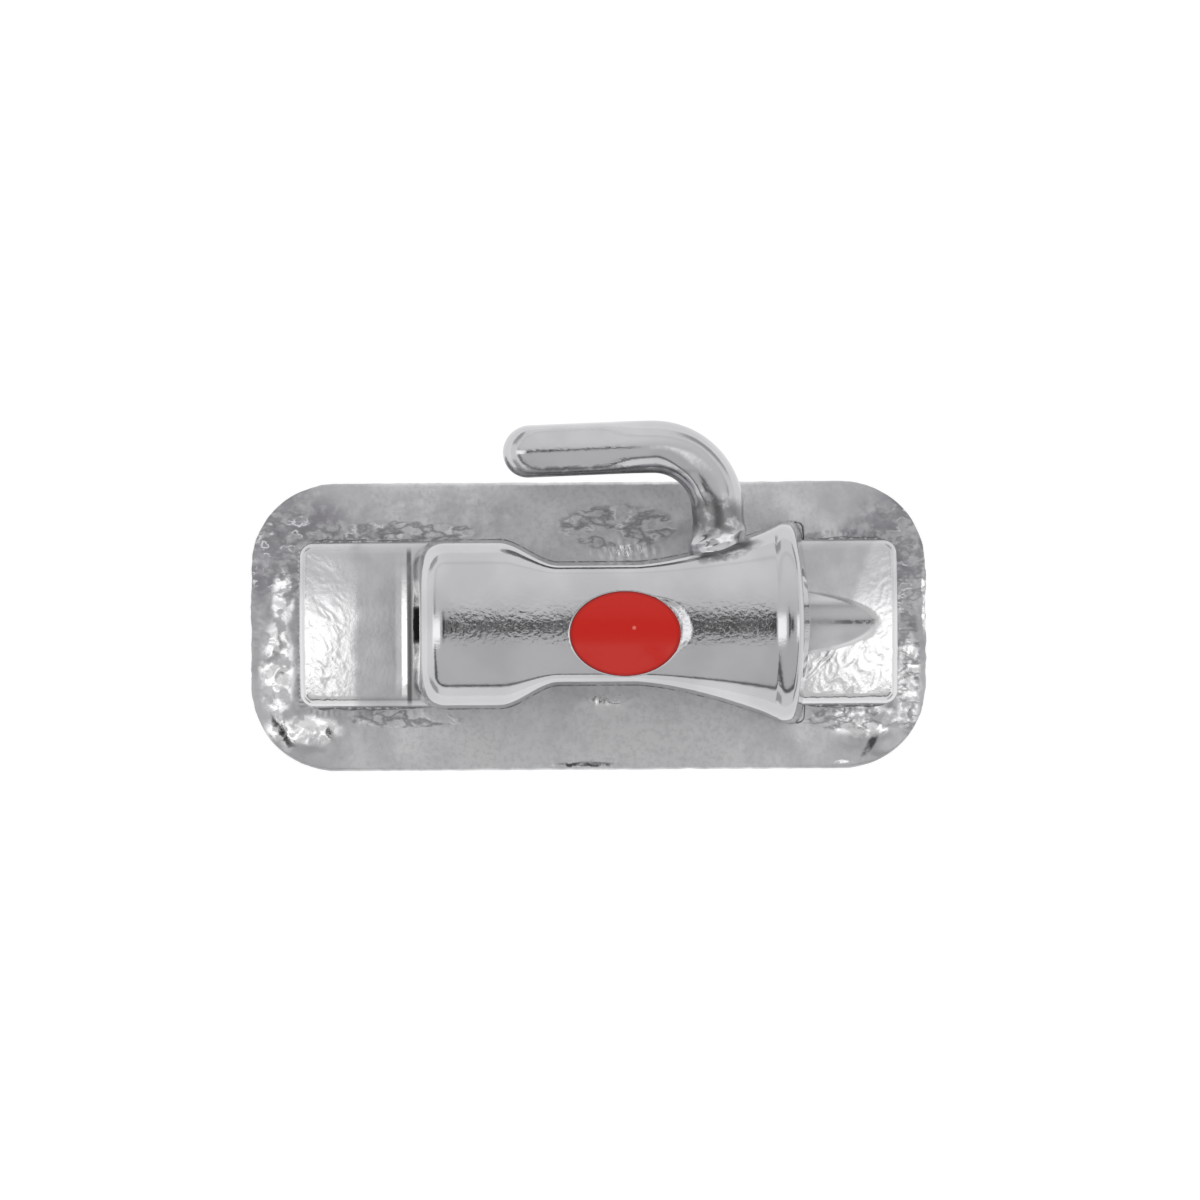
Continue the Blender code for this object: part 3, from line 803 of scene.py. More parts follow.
def pressed(across, up, share):
    """A point of the unit circle, moved by a share onto the section with two flats on top."""
    if up <= 0:
        return up
    ridge = math.sqrt(across**2 + RIDGE_SOFTNESS**2) - RIDGE_SOFTNESS
    flat = (1 - RIDGE_SLOPE * ridge) * math.sqrt(max(1 - across**12, 0.0))
    return up + (flat - up) * share


def flattened(across, up, share):
    """A point of the unit circle, moved by a share onto a flatter top that faces a little outward."""
    if up <= 0:
        return up
    flat = math.sqrt(max(1 - abs(across) ** 3, 0.0)) - BEND_LEAN * across * (1 - across**2)
    return up + (flat - up) * share


def hook_height(path):
    """Height of the hook's axis at a path length from the start of the bend, negative on the arm."""
    return HOOK_AXIS_Z + HOOK_LIFT - DIP_DEPTH * blend(*DIP_ENDS, path)


def hook_frames():
    """Centre, direction and radius of each ring, from the tip to inside the flank."""
    frames = []
    bend_x = HOOK_STEM_X - HOOK_BEND_RADIUS
    tip_turns = spread(0, QUARTER, 16)[:-1]
    arm = [(HOOK_TIP_X + HOOK_RADIUS * (1 - math.cos(turn)), math.sin(turn)) for turn in tip_turns]
    arm += [(x, 1.0) for x in spread(HOOK_TIP_X + HOOK_RADIUS, bend_x, 30)[:-1]]
    for x, share in arm:
        sag = ARM_SAG * (math.hypot(x - bend_x, SAG_START) - SAG_START)
        centre = Vector((x, HOOK_AXIS_Y - sag, hook_height(x - bend_x)))
        frames.append((centre, 0.0, HOOK_RADIUS * share))
    centre_y = HOOK_AXIS_Y - HOOK_BEND_RADIUS
    for turn in spread(0, QUARTER, 40):
        x = bend_x + HOOK_BEND_RADIUS * math.sin(turn)
        y = centre_y + HOOK_BEND_RADIUS * math.cos(turn)
        frames.append((Vector((x, y, hook_height(turn * HOOK_BEND_RADIUS))), -turn, HOOK_RADIUS))
    root_y = half_width(HOOK_STEM_X - 2 * HOOK_RADIUS) - HOOK_ROOT_DEPTH
    for y in spread(centre_y, root_y, 44)[1:]:
        near = max(1 - (y - root_y) / HOOK_ROOT_LENGTH, 0.0)
        radius = HOOK_RADIUS + HOOK_ROOT_FLARE * near**2
        height = hook_height(QUARTER * HOOK_BEND_RADIUS + centre_y - y)
        frames.append((Vector((HOOK_STEM_X, y, height)), -QUARTER, radius))
    return frames


def hook_rings():
    """Rings from the tip to the root, with the flats, the swollen stem and its bead."""
    rings = []
    root = hook_frames()[-1][0]
    for centre, turn, radius in hook_frames():
        facing = Matrix.Rotation(turn, 3, "Z")
        flat_share = blend(*TIP_FADE_X, centre.x) * (1 - blend(*FLAT_FADE_X, centre.x))
        flat_share *= blend(HOOK_AXIS_Y - 0.3, HOOK_AXIS_Y - 0.2, centre.y)
        bend_share = blend(0.1, 0.7, -turn) * (1 - blend(1.2, QUARTER, -turn))
        on_stem = 1 - blend(0.45, 0.7, centre.y - root.y)
        buried = BURIED_TAPER * (1 - blend(0.0, 0.2, centre.y - root.y))
        rings.append([])
        for across, up in arc((0, 0), 1, 0, 2 * math.pi, HOOK_SIDES):
            spoke = facing @ Vector((0, across, up))
            height = flattened(across, pressed(across, up, flat_share), bend_share)
            point = centre + facing @ Vector((0, across, height)) * radius
            along_stem = point.y - root.y - BEAD_SLOPE * (point.x - HOOK_STEM_X)
            bead = math.exp(-(((along_stem - BEAD_PLACE) / BEAD_WIDTH) ** 2))
            lumps = 0.5 + 0.9 * noise.noise(point / 0.15)
            swell = SWELL_HEIGHT * noise.noise(point / 0.3) * blend(0.1, 0.25, along_stem)
            point += spoke * (on_stem * (BEAD_HEIGHT * bead * lumps + swell) - buried)
            rings[-1].append((point.x, point.y + BODY_OFFSET, point.z))
    rings.append([tuple(root + Vector((0, BODY_OFFSET, 0)))] * HOOK_SIDES)
    return rings


hook = finished("hook", skin(hook_rings()))

# %% [markdown]
# Enamel is poured into the pit and fills it almost to the crown, as a low dome with a rounded
# edge. Rings of shrinking ovals follow the crown underneath.

# %% The enamel
ENAMEL_SIDES = 96
ENAMEL_INSET = 0.004
ENAMEL_DOME = 0.012
ENAMEL_SINK = 0.008
ENAMEL_EDGE = 0.012


def enamel_rings():
    """Ovals from the middle of the pit's floor out to the edge and back over the dome."""
    half = (PIT_LENGTH / 2 - ENAMEL_INSET, PIT_WIDTH / 2 - ENAMEL_INSET)
    edge = ENAMEL_EDGE / half[1]
    profile = [(share, -PIT_DEPTH) for share in (0.0, 0.5, 1.0)]
    for turn in spread(0, QUARTER, 6):
        sunk = ENAMEL_SINK + ENAMEL_EDGE * (1 - math.sin(turn))
        profile.append((1 - edge * (1 - math.cos(turn)), -sunk))
    profile += [(share, -ENAMEL_SINK) for share in spread(1 - edge, 0, 24)[1:]]
    rings = []
    for share, depth in profile:
        rings.append([])
        for across, up in arc((0, 0), share, 0, 4 * QUARTER, ENAMEL_SIDES):
            x, y = MARK_X + across * half[0], MARK_Y + up * half[1]
            dome = ENAMEL_DOME * (1 - share**2) if depth > -PIT_DEPTH / 2 else 0.0
            rings[-1].append((x, y + BODY_OFFSET, Section(x).height(y) + depth + dome))
    return rings


enamel = finished("enamel_mark", skin(enamel_rings()))
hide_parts("id_mark")

# %% [markdown]
# The braze that joins the moulding to the pad shows as a thin dark uneven bead in the corner
# between them. It is a small ring swept along the footprint, thick and thin by a noise, and it
# all but vanishes beside the tube's flanks.

# %% The braze bead
BRAZE_SIDES = 10
BRAZE_RADIUS = 0.026
FLANK_SHARE = 0.35
SIDE_STEPS = 560
END_STEPS = 130
CORNER_STEPS = 10


def braze_path():
    """The footprint's closed outline on the pad, anticlockwise."""
    radius = FOOT_CORNER_RADIUS
    half = FOOT_WIDTH / 2
    right = FOOT_MESIAL_REACH - radius
    left = -FOOT_DISTAL_REACH + radius
    side = [(x, footprint(x)) for x in spread(right, left, SIDE_STEPS)]
    return (
        arc((right, half - radius), radius, 0, QUARTER, CORNER_STEPS)
        + side
        + arc((left, half - radius), radius, QUARTER, 2 * QUARTER, CORNER_STEPS)[1:]
        + line((left - radius, half - radius), (left - radius, radius - half), END_STEPS)
        + arc((left, radius - half), radius, 2 * QUARTER, 3 * QUARTER, CORNER_STEPS)
        + [(x, -y) for x, y in reversed(side)]
        + arc((right, radius - half), radius, 3 * QUARTER, 4 * QUARTER, CORNER_STEPS)[1:]
        + line((right + radius, radius - half), (right + radius, half - radius), END_STEPS)
    )


def braze_rings():
    """Small rings round the footprint's outline, closed by the first one."""
    path = [Vector(point) for point in braze_path()]
    rings = []
    for number, centre in enumerate(path):
        ahead = path[(number + 3) % len(path)] - path[number - 3]
        outward = Vector((ahead.y, -ahead.x)).normalized()
        at_foot = max(1 - blend(-1.85, -1.7, centre.x), blend(RIM_END_X, RIM_END_X + 0.08, centre.x))
        lumps = 0.5 * waves(centre.x, centre.y, 0.09, 41.0)
        swell = 1 + lumps + 0.3 * waves(centre.x, centre.y, 0.25, 43.0)
        radius = BRAZE_RADIUS * swell * (FLANK_SHARE + (1 - FLANK_SHARE) * at_foot)
        rings.append([])
        for out, up in arc((0, 0), radius, 0, 4 * QUARTER, BRAZE_SIDES):
            flat = centre + outward * out
            x, y, z = on_tooth(flat.x, flat.y, PAD_THICKNESS + up)
            rings[-1].append((x, y + BODY_OFFSET, z))
    rings.append(rings[0])
    return rings


braze = finished("braze_bead", skin(braze_rings()))

# %% [markdown]
# Shader maths reads best as arithmetic. The small class below wraps one output socket, and each
# sum, product or comparison on it adds the Math node that does it. A board adds any other node.

# %% Shader arithmetic
def operator(operation, swapped=False):
    """A method that adds the Math node of an arithmetic sign."""

    def method(self, other=0.0):
        return self.board.math(operation, *((other, self) if swapped else (self, other)))

    return method


class Wire:
    """An output socket in an expression."""

    def __init__(self, board, socket):
        self.board = board
        self.socket = socket

    __add__ = __radd__ = operator("ADD")
    __sub__ = operator("SUBTRACT")
    __rsub__ = operator("SUBTRACT", swapped=True)
    __mul__ = __rmul__ = operator("MULTIPLY")
    __truediv__ = operator("DIVIDE")
    __pow__ = operator("POWER")
    __abs__ = operator("ABSOLUTE")

    def ramp(self, start, end, low=0.0, high=1.0):
        """Goes smoothly from low at start to high at end."""
        values = {"Value": self, "From Min": start, "From Max": end, "To Min": low, "To Max": high}
        return self.board.node("ShaderNodeMapRange", {"interpolation_type": "SMOOTHSTEP"}, values)


class Board:
    """A node tree that nodes are added to."""

    def __init__(self, tree):
        self.tree = tree

    def plug(self, socket, value):
        """Links a wire to a socket, or sets the socket's own value."""
        if isinstance(value, Wire):
            self.tree.links.new(value.socket, socket)
        else:
            socket.default_value = value

    def node(self, kind, settings, values, output=0):
        """Adds a node: its settings first, then its sockets' values and links."""
        node = self.tree.nodes.new(kind)
        for name, value in settings.items():
            setattr(node, name, value)
        for name, value in values.items():
            self.plug(node.inputs[name], value)
        return Wire(self, node.outputs[output])

    def math(self, operation, first, second=0.0):
        return self.node("ShaderNodeMath", {"operation": operation}, {0: first, 1: second})

    def mix(self, first, second, factor):
        """A colour between two colours."""
        return self.node("ShaderNodeMix", {"data_type": "RGBA"}, {0: factor, 6: first, 7: second}, 2)

    def place(self):
        """Object coordinates in millimetres."""
        raw = self.node("ShaderNodeTexCoord", {}, {}, "Object")
        values = {0: raw, "Scale": 1 / METRES_PER_MM}
        return self.node("ShaderNodeVectorMath", {"operation": "SCALE"}, values)

    def axes(self, vector):
        """A vector's X, Y and Z as three wires."""
        split = self.tree.nodes.new("ShaderNodeSeparateXYZ")
        self.plug(split.inputs[0], vector)
        return [Wire(self, socket) for socket in split.outputs]

    def patch(self, x, y, centre, size):
        """1 inside an oval round a place, fading to 0 at its edge."""
        out = ((x - centre[0]) / size[0]) ** 2 + ((y - centre[1]) / size[1]) ** 2
        return out.ramp(1.0, 0.2)

    def patches(self, x, y, places):
        """The sum of such ovals."""
        return sum(self.patch(x, y, centre, size) for centre, size in places)

    def grain(self, place, size, detail=2.0, roughness=0.5):
        """Noise between 0 and 1 whose lumps are about size millimetres across."""
        values = {"Vector": place, "Scale": 1 / size, "Detail": detail, "Roughness": roughness}
        return self.node("ShaderNodeTexNoise", {"noise_dimensions": "3D"}, values, "Fac")

    def bump(self, height, depth):
        """A normal from a height whose full step is depth millimetres."""
        values = {"Height": height, "Distance": depth * METRES_PER_MM, "Strength": 1.0}
        return self.node("ShaderNodeBump", {}, values, "Normal")


def finish(name, metallic, values):
    """A material whose shader gets constant values now and wires from its own recipe later."""
    material = bpy.data.materials.new(name)
    material.use_nodes = True
    board = Board(material.node_tree)
    shader = material.node_tree.nodes["Principled BSDF"]
    shader.inputs["Metallic"].default_value = metallic
    for socket, value in values.items():
        shader.inputs[socket].default_value = value
    return material, board, shader


def dress(board, shader, recipe):
    """Plugs a recipe's wires and values into the sockets that it names."""
    for socket, value in recipe.items():
        board.plug(shader.inputs[socket], value)


def steel_tone(level, blue=0.01):
    """A grey with a little more blue in it."""
    return (level, level, level + blue, 1.0)


# %% [markdown]
# Moulded steel is tumbled with small stones until it is bright. It reflects like a soft mirror,
# and the stones leave a fine peened grain. The grain is a bump far finer than the form, so it
# shows only where the reflection changes, such as along the crest. The stones don't reach into
# the wire slot, which is rougher, and its walls and its opening in the distal face are painted
# near black as painted shade. Its lead-in at the distal face is painted white, a painted
# highlight. Painted shade darkens the flank at the hook's root, and the hook's inner side and
# lower side.

# %% Tumbled steel
STEEL_GREY = (0.56, 0.56, 0.575)
# White painted on the slot's lead-in: a painted highlight.
LEAD_IN_HIGHLIGHT = (0.98, 0.98, 0.98, 1.0)
PEENING_SIZE = 0.042
PEENING_DEPTH = 0.003
TUBE_ROUGHNESS = 0.1
HOOK_ROUGHNESS = 0.12
# Places painted darker as shade: the flank under the hook, and the hook's inner bend and lower side.
FLANK_SHADE = [((1.42, 0.76), (0.42, 0.13))]
HOOK_SHADE = [((1.3, 1.12), (0.45, 0.24)), ((0.1, 1.585), (1.1, 0.075))]
FACE_BAND_X = -1.775
SLOT_ROOF_Z = SLOT_AXIS_Z + SLOT_DEPTH / 2


def tinted(factor):
    """The steel's own grey, darker or lighter by a factor."""
    return tuple(c * factor for c in STEEL_GREY) + (1.0,)


def slot_walls(x, y, z):
    """1 on the slot's own walls, from the distal face to the funnel."""
    wide = abs(y - BODY_OFFSET).ramp(SLOT_WIDTH / 2, SLOT_WIDTH / 4)
    deep = abs(z - SLOT_AXIS_Z).ramp(SLOT_DEPTH / 2 + 0.04, SLOT_DEPTH / 2 + 0.005)
    return wide * deep * x.ramp(BLOCK_END_X - 0.12, BLOCK_END_X - 0.08) * x.ramp(1.9, 1.3)


def slot_end(x, y, z):
    """Masks of the slot's opening in the distal face, which is painted black as shade, and of the lead-in
    on both sides of it, which is painted white as a highlight.
    """
    away = abs(y - 0.02)
    below_roof = z.ramp(SLOT_ROOF_Z + 0.09, SLOT_ROOF_Z + 0.06)
    opening = (away / 0.19 + abs(x - FACE_BAND_X) / 0.05).ramp(1.05, 0.85) * below_roof
    at_face = x.ramp(FACE_BAND_X - 0.05, FACE_BAND_X - 0.03) * x.ramp(-1.6, -1.66)
    lead_in = away.ramp(0.17, 0.21) * away.ramp(0.5, 0.42) * at_face * below_roof
    return opening, lead_in


def tumbled_steel(name, roughness, crest_y, crest_ends, shade_places):
    """Bright steel, peened most on its crest, with painted shade at given places."""
    material, board, shader = finish(name, 1.0, {})
    place = board.place()
    x, y, z = board.axes(place)
    start, stop = crest_ends
    crest = abs(y - crest_y).ramp(0.36, 0.2) * x.ramp(start, start + 0.2) * x.ramp(stop, stop - 0.1)
    fine = board.grain(place, PEENING_SIZE) * (0.25 + 0.75 * crest)
    broad = board.grain(place, 0.3)
    patchy = board.grain(place, 0.8, 3.0).ramp(0.35, 0.65)
    smear = board.grain(place, 0.12, 3.0)
    slanted = y - 0.25 * (x - HOOK_STEM_X) * y.ramp(1.0, 0.8) + 0.12 * (smear - 0.5)
    painted_shade = board.patches(x, slanted, shade_places) * smear.ramp(0.3, 0.5, 0.35, 1.0)
    opening, lead_in = slot_end(x, y, z)
    # The slot's walls and opening are rougher and painted near black: painted shade in the recess.
    dull_and_shaded = board.math("MAXIMUM", slot_walls(x, y, z) * (1 - lead_in), opening)
    colour = board.mix(tinted(0.94), tinted(1.05), patchy)
    # Painted shade darkens the given places.
    colour = board.mix(colour, tinted(0.36), painted_shade)
    # The lead-in is painted white and made less metallic: a painted highlight.
    colour = board.mix(colour, LEAD_IN_HIGHLIGHT, lead_in)
    recipe = {
        "Base Color": board.mix(colour, tinted(0.04), dull_and_shaded),
        "Metallic": 1 - 0.8 * lead_in,
        "Roughness": roughness + 0.08 * broad + 0.3 * dull_and_shaded + 0.12 * painted_shade,
        "Normal": board.bump(fine + 0.8 * broad, PEENING_DEPTH),
    }
    dress(board, shader, recipe)
    return material


tube_crest = (BODY_OFFSET, (-1.5, 1.95))
hook_crest = (HOOK_AXIS_Y + BODY_OFFSET, (-0.8, 0.5))
tube.data.materials.append(tumbled_steel("tumbled_steel", TUBE_ROUGHNESS, *tube_crest, FLANK_SHADE))
hook.data.materials.append(tumbled_steel("hook_steel", HOOK_ROUGHNESS, *hook_crest, HOOK_SHADE))

# %% [markdown]
# The feet are satin beside the tube and in the groove, where the stones hardly reach, and rubbed
# smoother on their wrinkled parts, which lie open; those are also painted lighter, a painted
# highlight that is brightest towards one side. The zones differ in grey and in roughness. A dark
# line runs in the joint before the tube's distal face, with a painted highlight on the step
# beside it.

# %% Satin and rubbed feet
# Where a near-white line is painted on the step before the tube's distal face: a painted highlight.
RIDGE_HIGHLIGHT_X = -1.897
JOINT_X = FACE_FOOT_X - 0.042
FOOT_GRAIN_DEPTH = 0.0015


def foot_steel(name, rubbed_and_highlit_zone, bright_side):
    """Satin steel, rubbed smoother and painted lighter where the zone is above 0, a painted highlight
    brightest towards one side.
    """
    material, board, shader = finish(name, 1.0, {})
    place = board.place()
    x, y, z = board.axes(place)
    cloud = board.grain(place, 0.3, 3.0)
    fine = board.grain(place, 0.04, 3.0)
    top = SEAT_Z + FOOT_HEIGHT - (abs(x) - PAD_FLAT_LENGTH / 2) ** 2 / (2 * PAD_BEND_RADIUS + 1.2)
    in_groove = (top - z - y * y / (2 * FOOT_CROWN_RADIUS)).ramp(0.01, 0.02) * abs(y).ramp(0.42, 0.4)
    in_groove = in_groove * x.ramp(2.0, 2.1) * x.ramp(2.98, 2.94)
    ridge = abs(x - RIDGE_HIGHLIGHT_X).ramp(0.038, 0.02) * y.ramp(0.66, 0.1) * y.ramp(-0.74, -0.68)
    zone = (rubbed_and_highlit_zone(board, x, y) + 0.25 * (cloud - 0.5)).ramp(-0.06, 0.06)
    rubbed_and_highlit = zone * (1 - in_groove) * y.ramp(*bright_side, 0.4, 1.0)
    colour = board.mix(steel_tone(0.44, 0.015), steel_tone(0.52, 0.015), cloud.ramp(0.3, 0.7))
    colour = board.mix(colour, steel_tone(0.64, 0.015), in_groove * y.ramp(-0.12, 0.08))
    # A broken dark line along the middle of the groove.
    groove_line = in_groove * abs(y - BODY_OFFSET).ramp(0.03, 0.01) * x.ramp(2.4, 2.7)
    colour = board.mix(colour, steel_tone(0.25), groove_line * fine.ramp(0.35, 0.5))
    # Rubbed parts are painted lighter: a painted highlight.
    colour = board.mix(colour, steel_tone(0.7), rubbed_and_highlit)
    # A painted highlight along the step before the tube's distal face.
    colour = board.mix(colour, steel_tone(0.95, 0.0), ridge)
    joint = abs(x - JOINT_X).ramp(0.034, 0.012) * abs(y).ramp(0.84, 0.74)
    recipe = {
        "Base Color": board.mix(colour, steel_tone(0.16, 0.005), joint * cloud.ramp(0.1, 0.5)),
        "Roughness": 0.3 - 0.15 * rubbed_and_highlit - 0.1 * ridge,
        "Normal": board.bump(fine + cloud, FOOT_GRAIN_DEPTH),
    }
    dress(board, shader, recipe)
    return material


def distal_rubbed_and_highlit(board, x, y):
    """Above 0 on the wrinkled part towards the free end."""
    return -2.4 - x


def mesial_rubbed_and_highlit(board, x, y):
    """Above 0 on the side away from the hook and at the free end."""
    return board.math("MAXIMUM", -0.28 - y, x - 2.62 - 0.35 * y)


distal_foot.data.materials.append(foot_steel("distal_foot_steel", distal_rubbed_and_highlit, (0.55, 0.1)))
mesial_foot.data.materials.append(foot_steel("mesial_foot_steel", mesial_rubbed_and_highlit, (0.5, 0.0)))

# %% [markdown]
# The pad is thin rolled sheet with a duller, mottled skin: patches of it are rougher and darker
# than others. Painted shade darkens the upper corners and edge, the ends and the sheet under the
# hook, and the crumpled lower corners are rubbed smoother and painted lighter, a painted
# highlight. Painted dark lines of shade with painted glints between them crackle the skin near
# the ends, and a row of fine teeth, as on a zip, lies past the distal foot. Painted shade lies
# in the creases.

# %% Stamped sheet
SHADED_PATCHES = [
    ((-3.1, 0.9), (0.8, 0.75), 1.0),
    ((-3.4, 0.1), (0.3, 0.7), 0.7),
    ((-1.7, 1.15), (1.4, 0.35), 0.45),
    ((3.15, 0.95), (0.6, 0.6), 1.0),
    ((3.4, 0.3), (0.3, 0.8), 0.8),
    ((0.35, 1.0), (0.75, 0.28), 0.6),
]
RUBBED_AND_HIGHLIT = [
    ((-3.22, -0.45), (0.22, 0.65)),
    ((-3.15, 0.3), (0.15, 0.35)),
    ((-2.95, -1.06), (0.5, 0.18)),
    ((2.85, -1.0), (0.5, 0.2)),
    ((3.3, -0.6), (0.16, 0.6)),
    ((3.465, 0.27), (0.04, 0.45)),
    ((2.6, -1.42), (0.09, 0.025)),
    ((0.39, 0.78), (0.27, 0.07)),
    ((0.2, -0.76), (0.22, 0.08)),
]
CRACKLED = [
    ((0.3, 1.02), (0.72, 0.26)),
    ((-3.1, 0.75), (0.55, 0.55)),
    ((3.2, 0.7), (0.4, 0.7)),
    ((-2.0, 0.98), (1.0, 0.12)),
    ((-1.9, -0.95), (0.7, 0.1)),
    ((2.7, -0.98), (0.6, 0.14)),
    ((3.3, -0.5), (0.15, 0.8)),
]
PATCH_SHADE_COLOUR = (0.24, 0.23, 0.25, 1.0)
SHEET_GRAIN_DEPTH = 0.004
ZIP_PITCH = 0.046
# Places of painted shade in the sheet's creases.
CREASE_SHADE = [
    ((-3.17, -1.07), (0.06, 0.22), 0.75),
    ((2.9, -1.24), (0.06, 0.14), -0.6),
    ((-0.04, -1.425), (0.36, 0.028), 0.0),
]


def beside_feet(board, x, y):
    """Distance of the sheet from the rectangle of the feet, and no less beside the tube's flanks."""
    end = board.math("MAXIMUM", x - FOOT_MESIAL_REACH, -FOOT_DISTAL_REACH - x)
    return board.math("MAXIMUM", abs(y - BODY_OFFSET) - FOOT_WIDTH / 2, end)


def stamped_sheet():
    """Mottled sheet with painted shade, rubbed and highlit corners, crackle, zip of teeth and painted
    shade in the creases.
    """
    material, board, shader = finish("stamped_sheet", 1.0, {})
    place = board.place()
    x, y, z = board.axes(place)
    mottle = board.grain(place, 0.45, 4.0, 0.6)
    flecks = board.grain(place, 0.16, 5.0, 0.6)
    fine = board.grain(place, 0.05, 3.0, 0.6)
    uneven = 0.12 * (flecks - 0.5)
    u, v = x + uneven, y + uneven
    # Patches of painted shade: upper corners and edge, the ends, and the sheet under the hook.
    patch_shade = sum(share * board.patch(u, v, centre, size) for centre, size, share in SHADED_PATCHES)
    rubbed_and_highlit = board.patches(u, v, RUBBED_AND_HIGHLIT).ramp(0.0, 1.0)
    rubbed_and_highlit = rubbed_and_highlit * board.grain(place, 0.15).ramp(0.4, 0.5, 0.2, 1.0)
    leaning = [(u + lean * (v - centre[1]), centre, size) for centre, size, lean in CREASE_SHADE]
    crease_shade = sum(board.patch(skewed, v, centre, size) for skewed, centre, size in leaning)
    beside = beside_feet(board, x, y)
    run_out = beside.ramp(0.2, 0.05) * flecks.ramp(0.45, 0.6) * abs(x).ramp(1.6, 1.9)
    shade_and_run_out = (patch_shade + 0.8 * run_out) * (0.4 * mottle + 0.6 * flecks).ramp(0.38, 0.58)
    colour = board.mix(steel_tone(0.56, 0.015), steel_tone(0.68, 0.012), mottle.ramp(0.3, 0.65))
    colour = board.mix(colour, steel_tone(0.3), abs(x).ramp(1.5, 3.2) * 0.6)
    colour = board.mix(colour, steel_tone(0.42), fine.ramp(0.45, 0.65) * 0.3)
    # Painted shade darkens the listed patches, and flecks beside the feet are darkened too.
    colour = board.mix(colour, PATCH_SHADE_COLOUR, 0.8 * shade_and_run_out)
    # Rubbed places are painted lighter: a painted highlight.
    colour = board.mix(colour, steel_tone(0.76), rubbed_and_highlit)
    values = {0: place, 1: (0.5, 1.0, 1.0)}
    stretched = board.node("ShaderNodeVectorMath", {"operation": "MULTIPLY"}, values)
    crackle = board.grain(stretched, 0.11, 3.0)
    crackled = board.patches(u, v, CRACKLED).ramp(0.0, 0.6)
    crackle_shade = abs(crackle - 0.44).ramp(0.09, 0.0)
    glints = abs(crackle - 0.56).ramp(0.05, 0.0) * flecks.ramp(0.45, 0.6)
    # Painted dark lines of shade, and painted glints between them, in the crackled patches.
    colour = board.mix(colour, steel_tone(0.22), 0.75 * crackled * crackle_shade)
    colour = board.mix(colour, steel_tone(0.9), 0.6 * crackled * glints)
    past_end = -FOOT_DISTAL_REACH - x
    zip_band = past_end.ramp(0.02, 0.04) * past_end.ramp(0.12, 0.09) * abs(y).ramp(0.85, 0.75)
    teeth = board.math("SINE", (y + 0.04 * flecks) * (2 * math.pi / ZIP_PITCH)).ramp(-0.4, 0.4)
    zip_colour = board.mix(steel_tone(0.24), steel_tone(0.62), teeth)
    colour = board.mix(colour, zip_colour, 0.8 * zip_band)
    recipe = {
        # Painted shade darkens the creases.
        "Base Color": board.mix(colour, steel_tone(0.08, 0.005), crease_shade * flecks.ramp(0.35, 0.55)),
        "Roughness": 0.36 + 0.12 * mottle.ramp(0.65, 0.35) - 0.22 * rubbed_and_highlit,
        "Normal": board.bump(0.5 * fine + mottle + 0.4 * flecks, SHEET_GRAIN_DEPTH),
    }
    dress(board, shader, recipe)
    return material


pad.data.materials.append(stamped_sheet())

# %% [markdown]
# Braze that is left in the corner is dull and dark with a few bright beads.

# %% Braze
BRAZE_GRAIN_DEPTH = 0.01


def braze_alloy():
    """Dark metal with a few bright beads."""
    material, board, shader = finish("braze_alloy", 1.0, {})
    place = board.place()
    beads = board.grain(place, 0.05)
    recipe = {
        "Base Color": board.mix(steel_tone(0.2), steel_tone(0.5), beads.ramp(0.45, 0.7)),
        "Roughness": 0.3 + 0.15 * beads,
        "Normal": board.bump(beads, BRAZE_GRAIN_DEPTH),
    }
    dress(board, shader, recipe)
    return material


braze.data.materials.append(braze_alloy())

# %% [markdown]
# The enamel is a deep red with a soft gloss. It is darker and thinner at its edge, which the
# distance from the middle of the oval gives, and its lower half is painted a little lighter, a
# painted sheen. One tiny painted highlight lies near its middle.

# %% Red enamel
RED = (0.6, 0.015, 0.008, 1.0)
SHEEN_RED = (0.61, 0.032, 0.024, 1.0)
EDGE_RED = (0.4, 0.01, 0.006, 1.0)
# A tiny painted highlight on the enamel: its colour, place and size.
HIGHLIGHT_RED = (0.8, 0.2, 0.16, 1.0)
HIGHLIGHT_PLACE = (0.47, -0.02)
HIGHLIGHT_SIZE = (0.024, 0.024)
ENAMEL_WAVE_DEPTH = 0.003


def red_enamel():
    """Glossy red with a painted sheen in its lower half, darker at its edge, with one painted highlight.
    """
    constants = {"Specular IOR Level": 0.3, "Roughness": 0.28}
    material, board, shader = finish("red_enamel_gloss", 0.0, constants)
    place = board.place()
    oval = {
        "Vector": place,
        "Location": (MARK_X, MARK_Y + BODY_OFFSET, 0),
        "Scale": (PIT_LENGTH / 2, PIT_WIDTH / 2, 1000),
    }
    centred = board.node("ShaderNodeMapping", {"vector_type": "TEXTURE"}, oval)
    out = board.node("ShaderNodeVectorMath", {"operation": "LENGTH"}, {0: centred}, "Value")
    lower_sheen = board.axes(centred)[1].ramp(-0.1, -0.35) * board.grain(place, 0.3).ramp(0.2, 0.6)
    x, y, z = board.axes(place)
    # The lower half is painted lighter: a painted sheen.
    colour = board.mix(RED, SHEEN_RED, lower_sheen)
    # A tiny painted highlight near the middle.
    colour = board.mix(colour, HIGHLIGHT_RED, board.patch(x, y, HIGHLIGHT_PLACE, HIGHLIGHT_SIZE))
    recipe = {
        "Base Color": board.mix(colour, EDGE_RED, out.ramp(0.9, 1.0)),
        "Normal": board.bump(board.grain(place, 0.2, 1.0), ENAMEL_WAVE_DEPTH),
    }
    dress(board, shader, recipe)
    return material


enamel.data.materials.append(red_enamel())

# %% [markdown]
# Bright steel shows what surrounds it. The light tent is a world made of soft areas, drawn on the
# direction of sight: a grey ceiling, lighter towards the hook's side, the camera's dark lens
# straight above with a thin slit of light beside it, a bright strip light to each end, a thin
# dark seam where the ceiling meets the walls, bright walls below it, and a dimmer panel in each
# corner of them.

